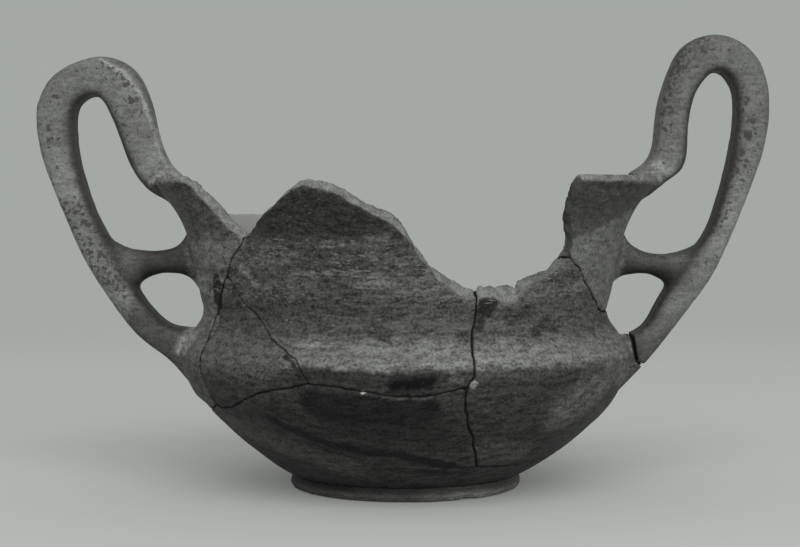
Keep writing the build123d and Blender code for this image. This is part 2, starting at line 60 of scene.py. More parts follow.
# The bowl's outer face from the foot to the lip as (radius, height), straight or an arc
FOOT_JOINT = (37.4, 4.6)
BELLY = (61.0, 21.6)
KEEL_START = (72.9, 39.6)
KEEL_END = (72.2, 47.2)
WAIST_START = (68.0, 53.2)
WAIST_END = (66.8, 61.2)
FLARE_START = (70.9, 80.2)
FLARE_END = (78.9, 94.8)
LIP_UNDERCUT = (80.0, 97.0)
LIP_EDGE = (82.2, 99.0)
LIP_INSIDE = (78.6, 100.1)
OUTER_STRETCHES = [
    ((0.0, 4.6), FOOT_JOINT),
    (FOOT_JOINT, (49.6, 11.9), BELLY),
    (BELLY, (68.9, 30.6), KEEL_START),
    (KEEL_START, (73.5, 43.3), KEEL_END),
    (KEEL_END, WAIST_START),
    (WAIST_START, (66.2, 57.0), WAIST_END),
    (WAIST_END, FLARE_START),
    (FLARE_START, (74.0, 88.0), FLARE_END),
    (FLARE_END, LIP_UNDERCUT),
    (LIP_UNDERCUT, LIP_EDGE),
    (LIP_EDGE, (80.6, 100.8), LIP_INSIDE),
]
ARC_STEPS = 6
WALL_HEIGHTS = (30.6, 39.6, 44.0, 50.0, 94.8, 98.0)
WALL_THICKNESSES = (5.6, 4.8, 4.8, 4.2, 4.2, 3.6)

# The ring foot
FOOT_RADIUS = 37.8
FOOT_NECK_RADIUS = 36.8
FOOT_BORE_RADIUS = 30.0
FOOT_BORE_TAPER = 1.2
FOOT_HEIGHT = 4.6
FOOT_EDGE_ROUND = 1.6

# The break near the right handle's root, and lines along the middle of each handle's openings,
# as (x, z)
ROOT_BREAK = [(72.0, 54.0), (73.9, 49.0), (74.8, 44.0), (75.4, 41.4), (80.5, 37.5)]
LEFT_LOOP_LINE = [(-80.0, 60.0), (-88.0, 88.0), (-101.0, 118.0)]
RIGHT_LOOP_LINE = [(79.0, 59.0), (90.0, 88.0), (101.5, 126.0)]
# Where handles, struts and wall meet, as (x, z, reach): clay was smoothed into these corners
JOINTS = [
    (-98.0, 75.0, 15.0), (-69.0, 73.0, 9.0), (-76.0, 98.0, 10.0), (-74.0, 42.0, 9.0),
    (97.0, 75.0, 15.0), (69.0, 73.0, 9.0), (80.0, 98.0, 10.0), (74.0, 42.0, 9.0),
]
# Where the straps flow into the rim, in the same form
RIM_ROOTS = [(-75.0, 101.5, 9.0), (76.0, 101.5, 9.0)]

# The broken edge at the front as (angle, height) of its outer side, and as (angle, lift): how much
# higher its inner side stands than the cut of the model
FRONT_EDGE = [
    (-135.0, 81.5), (-129.0, 85.0), (-119.0, 93.0), (-112.0, 97.3), (-107.5, 96.0), (-100.0, 90.7),
    (-93.5, 86.0), (-90.5, 82.5), (-86.5, 76.5), (-82.0, 70.0), (-77.0, 65.3), (-66.5, 64.3),
    (-60.0, 62.8), (-59.0, 66.8), (-54.5, 69.5), (-48.0, 72.5), (-44.6, 75.8),
]
INNER_LIFT = [
    (-128.0, 0.0), (-118.0, 0.5), (-112.0, 1.2), (-109.0, 1.7), (-104.0, 1.5), (-98.0, 1.0),
    (-95.7, 1.3), (-91.4, 1.8), (-89.8, 0.4), (-88.0, -1.0), (-84.5, -1.0), (-82.5, 0.2), (-78.8, 0.5),
    (-77.3, 1.4), (-75.0, 0.8), (-71.6, -0.3), (-70.6, 1.2), (-66.0, 1.2), (-64.3, 3.0),
    (-62.5, 3.2), (-60.5, 2.6), (-58.7, -0.4), (-56.5, -0.6), (-52.5, -0.6), (-50.0, -1.4), (-47.5, -0.6),
    (-45.0, 0.0),
]


def smoothstep(low, high, values):
    """0 below low, 1 above high, and the cubic ease between them."""
    share = np.clip((values - low) / (high - low), 0.0, 1.0)
    return share * share * (3.0 - 2.0 * share)


def falling(low, high, values):
    """1 below low, 0 above high, and the cubic ease between them."""
    return 1.0 - smoothstep(low, high, values)


def mixed(first, second, share):
    """The first value at share 0, the second at share 1."""
    return first + (second - first) * share


def radius_of(points):
    """Distance of each point from the axis."""
    return np.hypot(points[:, 0], points[:, 1])


def angle_of(points):
    """Angle of each point about the axis, from -180 to 180."""
    return np.degrees(np.arctan2(points[:, 1], points[:, 0]))


def lattice_values(x, y, z, seed):
    """A repeatable random number from 0 to 1 for each whole-numbered corner of a lattice."""
    value = (x * 73856093 ^ y * 19349663 ^ z * 83492791 ^ seed * 40503) & 0xFFFFFFFF
    value = (value ^ (value >> 15)) * 2246822519 & 0xFFFFFFFF
    value = (value ^ (value >> 13)) * 3266489917 & 0xFFFFFFFF
    return ((value ^ (value >> 16)) & 0xFFFFFF) / float(0xFFFFFF)


def noise(points, wavelength, seed):
    """Smooth noise from -1 to 1: random lattice values, blended by the cubic ease on each axis.

    The wavelength is in millimetres, one number or one for each axis, and the seed picks the pattern.
    """
    scaled = points / np.array(wavelength)
    cell = np.floor(scaled).astype(np.int64)
    share = scaled - cell
    share = share * share * (3.0 - 2.0 * share)
    total = np.zeros(len(points))
    for corner in range(8):
        step = np.array([corner & 1, corner >> 1 & 1, corner >> 2 & 1])
        weight = np.prod(np.where(step, share, 1.0 - share), axis=1)
        total += weight * lattice_values(*(cell + step).T, seed)
    return total * 2.0 - 1.0


def rough(points, wavelength, seed):
    """Noise with a finer half-strength octave on top, from about -1 to 1."""
    return (noise(points, wavelength, seed) + 0.5 * noise(points, wavelength * 0.47, seed + 1)) / 1.5


def circle_through(points):
    """Centre and radius of the circle through three points."""
    (ax, ay), (bx, by), (cx, cy) = points
    d = 2.0 * (ax * (by - cy) + bx * (cy - ay) + cx * (ay - by))
    a2, b2, c2 = ax ** 2 + ay ** 2, bx ** 2 + by ** 2, cx ** 2 + cy ** 2
    ux = (a2 * (by - cy) + b2 * (cy - ay) + c2 * (ay - by)) / d
    uy = (a2 * (cx - bx) + b2 * (ax - cx) + c2 * (bx - ax)) / d
    return (ux, uy), hypot(ax - ux, ay - uy)


def stretch_points(stretch):
    """Points along a stretch after its first: its end, or even steps along its arc."""
    if len(stretch) == 2:
        return [stretch[1]]
    (cx, cy), radius = circle_through(stretch)
    start = atan2(stretch[0][1] - cy, stretch[0][0] - cx)
    turn = atan2(stretch[-1][1] - cy, stretch[-1][0] - cx) - start
    turn -= 2.0 * pi * round(turn / (2.0 * pi))
    angles = [start + turn * (i + 1) / ARC_STEPS for i in range(ARC_STEPS)]
    return [(cx + radius * cos(angle), cy + radius * sin(angle)) for angle in angles]


PROFILE = [OUTER_STRETCHES[0][0]]
for part in OUTER_STRETCHES:
    PROFILE += stretch_points(part)
PROFILE = np.array(PROFILE)


def beside_profile(radius, height):
    """Depth below the outer face (negative outside it) and the height of the nearest point on it."""
    best = np.full(len(radius), np.inf)
    depth = np.zeros(len(radius))
    level = np.zeros(len(radius))
    for (r0, z0), (r1, z1) in zip(PROFILE[:-1], PROFILE[1:]):
        dr, dz = r1 - r0, z1 - z0
        share = np.clip(((radius - r0) * dr + (height - z0) * dz) / (dr * dr + dz * dz), 0.0, 1.0)
        out_r, out_z = radius - r0 - dr * share, height - z0 - dz * share
        gap = np.hypot(out_r, out_z)
        closer = gap < best
        best = np.where(closer, gap, best)
        depth = np.where(closer, np.where(out_r * dz - out_z * dr > 0.0, -gap, gap), depth)
        level = np.where(closer, z0 + dz * share, level)
    return depth, level


def wall_share(points):
    """How deep each point lies below the outer face, and the wall's thickness there."""
    depth, level = beside_profile(radius_of(points), points[:, 2])
    return depth, np.interp(level, WALL_HEIGHTS, WALL_THICKNESSES)


def wall_places(places):
    """Points on the outer face from (angle, height) pairs."""
    angles = np.radians([place[0] for place in places])
    heights = np.array([place[1] for place in places])
    radii = np.interp(heights, PROFILE[1:-ARC_STEPS, 1], PROFILE[1:-ARC_STEPS, 0])
    return np.stack([radii * np.cos(angles), radii * np.sin(angles), heights], axis=1)


def on_the_wall(points):
    """The points moved straight in or out to the outer face at their own height."""
    wall = np.interp(points[:, 2], PROFILE[1:-ARC_STEPS, 1], PROFILE[1:-ARC_STEPS, 0])
    share = wall / np.maximum(radius_of(points), 1.0)
    return points * np.stack([share, share, np.ones(len(points))], axis=1)


def in_plane(places):
    """Points in the handles' plane from (x, z) pairs."""
    return np.array([(x, 0.0, z) for x, z in places])


def flattened(points):
    """The points pressed into the handles' plane."""
    return points * (1.0, 0.0, 1.0)


def nearest_on_line(points, line):
    """For each point, its distance from a line of straight parts and the nearest point on it."""
    best = np.full(len(points), np.inf)
    nearest = np.zeros_like(points)
    for start, end in zip(line[:-1], line[1:]):
        along = end - start
        share = np.clip((points - start) @ along / (along @ along), 0.0, 1.0)
        there = start + share[:, None] * along
        gap = np.linalg.norm(points - there, axis=1)
        closer = gap < best
        best = np.where(closer, gap, best)
        nearest = np.where(closer[:, None], there, nearest)
    return best, nearest


def line_distance(points, line):
    """Distance of each point from a line of straight parts, or from a single point."""
    if len(line) == 1:
        return np.linalg.norm(points - line[0], axis=1)
    return nearest_on_line(points, line)[0]


# A coarse grid of cells that finds what lies by a crack
CELL = 1.5
CELL_MARGIN = 10.0
CELL_LOW = CAD_LOW - CELL_MARGIN


def cell_of(points):
    """The cell of each point, as three arrays of whole numbers."""
    return tuple(((points - CELL_LOW) / CELL).astype(int).T)


def cells_around(points):
    """A grid of cells, true in and next to each cell that holds one of the points."""
    grid = np.zeros(np.ceil((CAD_HIGH + CELL_MARGIN - CELL_LOW) / CELL).astype(int), bool)
    grid[cell_of(points)] = True
    for axis in range(3):
        grid = grid | np.roll(grid, 1, axis) | np.roll(grid, -1, axis)
    return grid


def read_triples(items, name):
    """Three numbers of each item, such as each point's place or normal."""
    values = np.zeros(len(items) * 3, np.float32)
    items.foreach_get(name, values)
    return values.reshape(-1, 3).astype(float)


# How many rounds of filling use the same normals
NORMALS_KEPT = 10


class Surface:
    """A mesh with its points in millimetres and the pairs of points that its edges join."""

    def __init__(self, mesh):
        self.mesh = mesh
        self.count = len(mesh.vertices)
        self.points = read_triples(mesh.vertices, "co")
        self.pairs = np.zeros(len(mesh.edges) * 2, np.int32)
        mesh.edges.foreach_get("vertices", self.pairs)
        self.pairs = self.pairs.reshape(-1, 2)
        ends = np.concatenate([self.pairs[:, 0], self.pairs[:, 1]])
        self.degree = np.maximum(np.bincount(ends, minlength=self.count), 1)

    def around(self, values):
        """Mean of each value's neighbours along the edges."""
        first, second = self.pairs[:, 0], self.pairs[:, 1]
        total = np.bincount(first, values[second], self.count)
        total = total + np.bincount(second, values[first], self.count)
        return total / self.degree

    def blurred(self, values, rounds):
        """The values after rounds of moving each halfway to its neighbours' mean."""
        for _ in range(rounds):
            values = 0.5 * values + 0.5 * self.around(values)
        return values

    def borders(self, values, rounds):
        """1 along the border between values of 0 and 1, easing to 0 on both sides: 4 s (1 - s)."""
        share = self.blurred(values, rounds)
        return 4.0 * share * (1.0 - share)

    def smooth(self, rounds, weight=1.0):
        """Moves every point halfway to its neighbours' mean, as far as its weight says."""
        for _ in range(rounds):
            for axis in range(3):
                values = self.points[:, axis]
                values += 0.5 * weight * (self.around(values) - values)

    def normals(self):
        """Normals of the present points, from the mesh."""
        self.mesh.vertices.foreach_set("co", self.points.astype(np.float32).ravel())
        self.mesh.update()
        return read_triples(self.mesh.vertices, "normal")

    def fill_corners(self, rounds, weight):
        """Lifts hollow corners only: each round moves a point outwards to its neighbours' mean."""
        for _ in range(rounds // NORMALS_KEPT):
            normals = self.normals()
            for _ in range(NORMALS_KEPT):
                means = [self.around(self.points[:, axis]) for axis in range(3)]
                step = np.stack(means, axis=1) - self.points
                lift = np.maximum(np.sum(step * normals, axis=1), 0.0) * weight
                self.points += normals * lift[:, None]


def placed(name, data):
    """A new object in the scene that holds the data."""
    item = bpy.data.objects.new(name, data)
    bpy.context.scene.collection.objects.link(item)
    return item


def cad_copy(names, name):
    """A merged copy of CAD nodes in millimetres, with no loose corners."""
    corners, faces, start = [], [], 0
    for node in names:
        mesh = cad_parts[node].data
        mesh.calc_loop_triangles()
        triangles = np.zeros(len(mesh.loop_triangles) * 3, np.int32)
        mesh.loop_triangles.foreach_get("vertices", triangles)
        rounded = np.round(read_triples(mesh.vertices, "co") / MM, 3)
        unique, places = np.unique(rounded, axis=0, return_inverse=True)
        corners.append(unique)
        faces.append(places.ravel()[triangles].reshape(-1, 3) + start)
        start += len(unique)
    faces = np.concatenate(faces)
    real = (faces[:, 0] != faces[:, 1]) & (faces[:, 1] != faces[:, 2]) & (faces[:, 2] != faces[:, 0])
    made = bpy.data.meshes.new(name)
    made.from_pydata(np.concatenate(corners), [], faces[real])
    return placed(name, made)


def remade(names, name, voxel):
    """One closed mesh of small even faces round the CAD nodes, in millimetres."""
    source = cad_copy(names, name + "_source")
    modifier = source.modifiers.new("even", "REMESH")
    modifier.mode = "VOXEL"
    modifier.voxel_size = voxel
    depsgraph = bpy.context.evaluated_depsgraph_get()
    mesh = bpy.data.meshes.new_from_object(source.evaluated_get(depsgraph))
    mesh.name = name
    bpy.data.objects.remove(source)
    return Surface(mesh)


def finished(surface, name, nodes, material, values):
    """Puts a shaped surface into the scene in metres, with its values as attributes."""
    points = np.clip(surface.points, CAD_LOW, CAD_HIGH) * MM
    surface.mesh.vertices.foreach_set("co", points.astype(np.float32).ravel())
    surface.mesh.update()
    surface.mesh.shade_smooth()
    surface.mesh.materials.clear()
    surface.mesh.materials.append(material)
    for key, array in values.items():
        attribute = surface.mesh.attributes.new(key, "FLOAT", "POINT")
        attribute.data.foreach_set("value", np.asarray(array, np.float32))
    piece = placed(name, surface.mesh)
    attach(piece, "root")
    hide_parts(*nodes)


# How the wall's breaks wander: noise along the wall as (wavelength, height, seed), and how far
# outside the wall it dies away
WARP_WAVES = [(5.0, 0.45, 11), (2.0, 0.2, 17)]
WARP_FADE = 6.0
# How far the bowl and its handles are off true in mm, each in the order of its line in bent
LEFT_SLACK = 1.5
KEEL_SLACK = 0.4
RIGHT_TRIM = 0.5
LEFT_GAIN = 0.7
CORNER_TRIM = 0.9
RIM_RISE = 1.1


def warped(points):
    """The points moved along the wall by noise that every piece shares, so that breaks still match.

    Each wave of noise moves them round the axis and up the slope of the wall. The moves die away off
    the wall, near the foot and at the lip.
    """
    radius = radius_of(points)
    depth, _ = beside_profile(radius, points[:, 2])
    fade = np.exp(-np.maximum(-depth, 0.0) / WARP_FADE) * smoothstep(6.0, 9.0, points[:, 2])
    fade = fade * falling(96.0, 99.0, points[:, 2])
    around = np.stack([-points[:, 1], points[:, 0]], axis=1) / np.maximum(radius, 1.0)[:, None]
    shift_up, shift_round = 0.0, 0.0
    for wave, height, seed in WARP_WAVES:
        shift_up = shift_up + height * noise(points, wave, seed)
        shift_round = shift_round + height * noise(points, wave, seed + 3)
    moved = points.copy()
    moved[:, :2] += around * (shift_round * fade)[:, None]
    slope = np.gradient(PROFILE[:, 0]) / np.maximum(np.gradient(PROFILE[:, 1]), 0.5)
    lean = np.interp(points[:, 2], PROFILE[1:, 1], slope[1:])
    length = np.hypot(lean, 1.0)
    moved[:, 2] += shift_up * fade / length
    outwards = points[:, :2] / np.maximum(radius, 1.0)[:, None]
    moved[:, :2] += outwards * (shift_up * fade * lean / length)[:, None]
    return moved


def bent(points):
    """The points of the true bowl moved to the real one: slack low on the left, waving at the right rim.

    The handles' outer edges and the right break are trimmed, and the inner side of the open front
    edge is lifted as INNER_LIFT says. Each move is a smooth bump or step in angle, height or radius.
    """
    radius, angle, height = radius_of(points), angle_of(points), points[:, 2]
    from_left = (np.abs(angle) - 180.0) / 50.0
    low = smoothstep(5.0, 14.0, height) * falling(27.5, 31.5, height)
    below_keel = np.exp(-((height - 30.0) / 10.0) ** 2)
    slack = -(LEFT_SLACK * low + KEEL_SLACK * below_keel) * np.exp(-from_left ** 2)
    moved = points.copy()
    moved[:, 0] -= RIGHT_TRIM * smoothstep(95.0, 112.0, points[:, 0])
    moved[:, 0] -= LEFT_GAIN * smoothstep(104.0, 112.0, -points[:, 0]) * smoothstep(95.0, 110.0, height)
    moved[:, 0] += CORNER_TRIM * np.exp(-((angle + 45.0) / 6.0) ** 2) * smoothstep(88.0, 95.0, height)
    moved[:, :2] *= (1.0 + slack / np.maximum(radius, 20.0))[:, None]
    near = smoothstep(70.0, 100.0, height) * falling(84.0, 96.0, radius)
    near = near * falling(100.0, 106.0, height)
    moved[:, 2] += RIM_RISE * np.exp(-(angle / 28.0) ** 2) * near
    edge = np.interp(angle, *zip(*FRONT_EDGE))
    lift = np.interp(angle, *zip(*INNER_LIFT), left=0.0, right=0.0)
    depth, thickness = wall_share(points)
    inner = smoothstep(0.0, 0.85, depth / thickness)
    moved[:, 2] += lift * inner * smoothstep(edge - 9.0, edge - 0.5, height) * (radius > 40.0)
    return moved


# Tones run from 0, black, to 1, white. The slip's tone by height, before its marks
TONE_HEIGHTS = (40.0, 43.3, 44.8, 50.0, 54.0, 64.0, 66.0, 80.0, 84.0)
TONES = (0.027, 0.033, 0.114, 0.12, 0.052, 0.055, 0.062, 0.051, 0.031)
# How much paler the slip is on two sherds, and towards each side of the front
SHERD_TONES = {"left_handle": 2.15, "left_shoulder": 0.97}
LEFT_SHARE = 0.93
RIGHT_SHARE = 1.08
# Bare clay: most breaks, the right body's, the right rim sherd's, and inside the cracks
PALE_CLAY = 0.148
RIGHT_BREAK = 0.1
DARK_BREAK = 0.058
CRACK_CLAY = 0.012
# The black line along the left crack
CRACK_TONE = 0.006
# What shows through the slip where it has flaked, and the dark specks on the handles
FLAKE_TONE = 0.16
SPECK_TONE = 0.035
FILL_TONE = 0.235
# The foot at the left, and at the right of the front, which is paler with painted light where its low
# flare catches it
LEFT_FOOT_TONE = 0.042
LIT_RIGHT_FOOT_TONE = 0.11
# The handles' flat faces by height, then their other faces, the inside and the lip
HANDLE_HEIGHTS = (45.0, 60.0, 75.0, 95.0, 115.0)
HANDLE_TONES = (0.072, 0.134, 0.168, 0.166, 0.122)
RIGHT_HANDLE_SHARE = 0.9
LOOP_SIDE_TONE = 0.05
# The struts' lit tops, and the painted shade under them
LEFT_STRUT_LIT_TONE = 0.052
RIGHT_STRUT_LIT_TONE = 0.074
STRUT_SHADE_TONE = 0.018
INNER_TONE = 0.14
LIP_TONE = 0.15
RIGHT_SHERD_PALE = 0.126
RIGHT_SHERD_DARK = 0.055

# Places of the marks on the outer face, as (angle, height)
LOWER_BAND = [
    (-127.3, 27.6), (-119.9, 23.9), (-109.3, 19.6), (-91.8, 17.7), (-82.4, 15.1), (-75.3, 13.4),
]
BAND_END = [(-75.3, 13.2), (-63.4, 12.3), (-54.7, 11.8), (-43.0, 12.0)]
FOOT_SMUDGE = [(-85.0, 11.3), (-76.0, 10.4), (-68.0, 10.8)]
DARK_WEDGE = [(-112.0, 33.5), (-104.0, 32.5), (-92.0, 32.0), (-86.0, 32.5)]
DARK_BELLY = [(-108.0, 27.5), (-95.0, 25.5), (-82.0, 26.0)]
PALE_LEFT_BELLY = [(-150.0, 24.0), (-125.0, 17.0), (-110.0, 12.0)]
PALE_RIGHT_BELLY = [(-44.0, 30.0), (-33.0, 38.0)]
GREY_RIGHT_BELLY = [(-66.0, 18.5), (-52.0, 16.0)]
UNDER_LEFT_KEEL = [(-148.0, 38.0), (-130.0, 36.5), (-121.0, 38.0)]
DULL_LEFT_BAND = [(-155.0, 48.0), (-126.0, 47.5)]
# Painted shade along the keel's crease, where the bright shoulder turns under
KEEL_CREASE_SHADE = [(-114.0, 42.3), (-105.0, 42.0), (-95.0, 41.2), (-85.0, 41.6), (-75.0, 42.2)]
DARKEST_CREASE_SHADE = [(-92.5, 39.8), (-88.0, 40.3), (-84.5, 41.2)]
PALE_CREASE = [(-79.5, 41.6), (-77.5, 41.0)]
# Softer painted shade along the keel's crease towards the right
SOFT_CREASE_SHADE = [(-75.0, 43.0), (-60.0, 42.6), (-36.0, 41.2)]
DARK_NECK = [(-136.0, 60.5), (-122.0, 60.0), (-108.0, 59.5)]
NECK_BLOTCH = [(-100.3, 58.0), (-98.7, 56.3), (-95.1, 53.6)]
CRACK_SCAR = [(-119.7, 47.2), (-117.3, 45.9), (-114.3, 40.8)]
PATCH_TOP = [(-70.2, 63.0), (-68.0, 63.0)]
PATCH_MIDDLE = [(-70.3, 60.3), (-69.0, 60.3)]
PATCH_LOW = [(-70.6, 58.0), (-71.2, 55.5)]
RIGHT_BLOTCHES = [(-64.0, 59.0), (-60.9, 58.3), (-57.3, 60.0)]
RIGHT_BLOTCH = [(-54.3, 54.5), (-50.9, 56.7), (-48.5, 55.0)]
DULL_RIGHT_NECK = [(-64.0, 62.0), (-52.0, 63.5), (-45.0, 62.0), (-38.0, 57.0)]
# Painted light: a paler wall under the right strap's root, lifting the shade of the facet there
LIT_RIGHT_ROOT_FOOT = [(-22.0, 40.0), (-10.0, 39.0), (-3.0, 38.0)]
# A hollow by the left crack: sunk into the wall, and darkened with painted shade
HOLLOW_AT_CRACK = [(-149.3, 68.0), (-150.0, 65.0), (-151.0, 62.0)]
# Painted shade under the lip's overhang, and in the groove under the right lip
UNDER_LIP_SHADE = [(-175.0, 97.3), (-150.0, 97.3), (-142.0, 97.0), (-134.0, 96.0)]
UNDER_RIGHT_LIP_SHADE = [(-46.0, 97.4), (-30.0, 97.6), (-10.0, 97.8), (0.0, 98.0)]
LEFT_CRACK = [
    (-145.9, 67.3), (-149.0, 63.5), (-152.5, 59.0), (-154.5, 56.0), (-153.0, 52.5), (-150.8, 48.5),
    (-150.4, 45.0), (-150.2, 41.0), (-149.9, 36.3), (-149.3, 32.6), (-148.7, 29.5),
]
DIP_LINE = [(-60.0, 77.0), (-44.4, 81.3), (-39.2, 83.6), (-31.7, 86.6), (-20.0, 90.0)]
LEFT_LINE = [(-144.7, 85.7), (-150.4, 74.9), (-154.7, 65.3)]
LIT_CRACK_EDGE = [(-95.4, 36.2), (-91.4, 35.7), (-84.1, 36.3)]
# The marks in the order they are laid on: place, half width and softness in mm, tone, strength
MARKS = [
    (PALE_LEFT_BELLY, 3.0, 5.0, 0.05, 0.8),
    (PALE_RIGHT_BELLY, 4.0, 8.0, 0.088, 0.85),
    (UNDER_LEFT_KEEL, 2.0, 3.0, 0.038, 0.6),
    (GREY_RIGHT_BELLY, 2.5, 5.0, 0.055, 0.8),
    (DARK_BELLY, 3.0, 4.0, 0.014, 0.8),
    (DARK_WEDGE, 3.6, 3.0, 0.007, 0.85),
    (LOWER_BAND, 1.4, 1.0, 0.006, 0.95),
    (BAND_END, 0.3, 0.6, 0.008, 0.9),
    (FOOT_SMUDGE, 1.0, 1.8, 0.01, 0.8),
    (DULL_LEFT_BAND, 5.0, 6.0, 0.07, 0.8),
    (DARK_NECK, 3.2, 1.5, 0.045, 0.7),
    # The next two are painted shade along the keel's crease
    (KEEL_CREASE_SHADE, 1.2, 1.3, 0.022, 0.85),
    (DARKEST_CREASE_SHADE, 0.3, 3.0, 0.002, 1.0),
    (PALE_CREASE, 0.3, 1.0, 0.1, 0.6),
    # Painted shade along the keel's crease towards the right
    (SOFT_CREASE_SHADE, 0.8, 2.0, 0.045, 0.6),
    (CRACK_SCAR, 0.5, 0.7, 0.015, 0.9),
    (DULL_RIGHT_NECK, 4.5, 3.0, 0.066, 0.6),
    (PATCH_TOP, 1.9, 0.7, 0.012, 0.95),
    (PATCH_MIDDLE, 1.5, 0.7, 0.012, 0.95),
    (PATCH_LOW, 0.9, 0.8, 0.014, 0.95),
    (RIGHT_BLOTCHES, 1.0, 1.6, 0.028, 0.85),
    (RIGHT_BLOTCH, 1.0, 1.6, 0.028, 0.85),
    # Painted light under the right strap's root
    (LIT_RIGHT_ROOT_FOOT, 3.0, 4.0, 0.12, 0.6),
    # Painted shade in the hollow by the left crack
    (HOLLOW_AT_CRACK, 2.3, 1.2, 0.012, 0.95),
    ([(-110.2, 80.4), (-105.2, 80.4)], 0.5, 0.9, 0.12, 0.6),
    ([(-101.8, 69.0), (-95.1, 69.1)], 1.2, 1.4, 0.1, 0.6),
    ([(-98.9, 81.0), (-94.9, 82.2)], 0.8, 1.2, 0.085, 0.5),
    ([(-124.0, 77.6), (-116.0, 77.7)], 0.25, 0.6, 0.12, 0.5),
    ([(-127.6, 74.8), (-119.0, 75.0)], 0.25, 0.6, 0.11, 0.5),
    ([(-136.9, 71.6), (-132.0, 69.0)], 0.6, 1.2, 0.085, 0.4),
    ([(-140.5, 74.5), (-135.9, 76.4)], 1.2, 1.5, 0.085, 0.5),
    ([(-119.0, 78.8), (-101.0, 78.6)], 0.35, 0.7, 0.028, 0.7),
    ([(-133.1, 64.1), (-111.5, 63.9), (-98.5, 63.2)], 0.3, 0.9, 0.033, 0.6),
    ([(-149.6, 29.3), (-143.3, 30.1)], 0.4, 0.4, 0.006, 0.9),
    # Painted shade under the lips
    (UNDER_LIP_SHADE, 0.5, 1.3, 0.03, 0.8),
    (UNDER_RIGHT_LIP_SHADE, 0.3, 0.8, 0.035, 0.7),
    (LEFT_LINE, 0.2, 0.8, 0.07, 0.5),
    (NECK_BLOTCH, 1.3, 1.6, 0.035, 0.8),
    ([(-136.0, 72.8), (-133.7, 70.5), (-131.5, 67.8)], 0.5, 1.2, 0.16, 0.6),
    (LIT_CRACK_EDGE, 0.1, 0.4, 0.08, 0.6),
    ([(-74.7, 39.7)], 0.7, 0.7, 0.25, 0.8),
    ([(-100.0, 37.7)], 0.55, 0.3, 0.5, 0.9),
    ([(-114.1, 65.0)], 0.4, 0.4, 0.01, 0.9),
    ([(-139.0, 83.1)], 0.6, 0.5, 0.02, 0.9),
]
# Marks on the handles, in the same form with places as (x, z)
# A painted highlight along the rounded ridge of the left strap's upper leg, and painted shade on the side
# beyond it
RIDGE_HIGHLIGHT = [
    (-99.3, 139.3), (-91.2, 134.9), (-85.7, 127.1), (-82.1, 116.7), (-79.8, 108.0), (-77.5, 104.4),
]
RIDGE_SIDE_SHADE = [(-96.0, 140.5), (-89.3, 135.9), (-84.2, 128.3), (-80.7, 118.0), (-78.2, 109.0)]
HANDLE_MARKS = [
    ([(-86.0, 54.0), (-78.0, 44.0)], 3.0, 4.0, 0.05, 0.8),
    # Painted shade on the strap's side beyond the ridge, then the ridge's painted highlight
    (RIDGE_SIDE_SHADE, 0.5, 0.7, 0.1, 0.7),
    (RIDGE_HIGHLIGHT, 0.3, 0.6, 0.24, 0.8),
    ([(-109.0, 90.0), (-105.0, 84.0), (-101.0, 76.0), (-96.0, 68.0)], 2.5, 3.5, 0.11, 0.8),
    ([(-76.0, 104.0), (-74.0, 100.5)], 1.0, 1.5, 0.22, 0.7),
    ([(82.7, 104.7), (86.0, 102.8)], 1.0, 1.5, 0.24, 0.7),
    ([(96.0, 144.5), (90.0, 140.0), (87.6, 133.0), (86.5, 124.0)], 2.0, 2.0, 0.08, 0.7),
    ([(113.0, 119.5)], 0.8, 0.8, 0.05, 0.8),
    ([(111.3, 114.8)], 0.9, 0.8, 0.04, 0.85),
    ([(108.5, 110.0), (106.3, 105.0), (105.0, 101.0)], 1.0, 1.6, 0.06, 0.75),
    ([(97.0, 75.0), (90.0, 64.0)], 3.0, 4.0, 0.12, 0.7),
]
# Dark specks gather at these places on the handles: places, half width, softness, amount
SPECK_PLACES = [
    ([(-89.0, 127.0), (-87.5, 123.5)], 1.2, 1.5, 1.5),
    ([(-91.5, 118.0), (-91.0, 114.0)], 0.8, 1.0, 1.5),
    ([(-100.5, 138.0), (-95.0, 135.5), (-90.5, 131.5)], 0.8, 2.0, 1.1),
    ([(-115.6, 132.0), (-112.7, 128.0)], 1.0, 2.0, 1.0),
    ([(-117.5, 119.0), (-115.6, 110.6)], 1.0, 2.0, 1.0),
    ([(-109.0, 92.0), (-105.0, 84.0), (-101.0, 76.0), (-96.0, 68.0)], 2.5, 3.0, 1.4),
    ([(-95.4, 67.0), (-89.6, 58.0)], 2.0, 3.0, 1.1),
    ([(97.0, 145.0), (91.2, 142.0), (88.3, 137.5), (86.9, 133.0)], 2.0, 2.0, 1.6),
    ([(86.9, 133.0), (86.3, 127.5), (85.7, 121.6), (84.5, 117.4)], 1.6, 1.5, 1.3),
    ([(113.0, 119.5), (111.3, 114.8)], 1.4, 1.5, 1.6),
    ([(109.5, 110.0), (107.5, 105.0), (105.5, 100.0)], 2.0, 2.0, 1.5),
    ([(111.0, 129.0), (110.0, 124.0)], 1.0, 2.0, 1.1),
    ([(104.0, 92.0), (102.0, 84.0)], 1.4, 2.0, 1.2),
    ([(87.6, 61.5)], 0.4, 0.4, 2.0),
]


def wall_zones(depth, thickness):
    """Shares from 0 to 1: how far a point is within the wall, on a break, and how far off the wall."""
    within = smoothstep(0.3, 0.9, np.minimum(depth, thickness - depth))
    return within, smoothstep(0.2, 3.5, -depth)


def left_crack_gap(points):
    """Distance of each point from the left crack, which wanders a little."""
    return line_distance(on_the_wall(points), wall_places(LEFT_CRACK)) + 0.2 * noise(points, 1.5, 67)


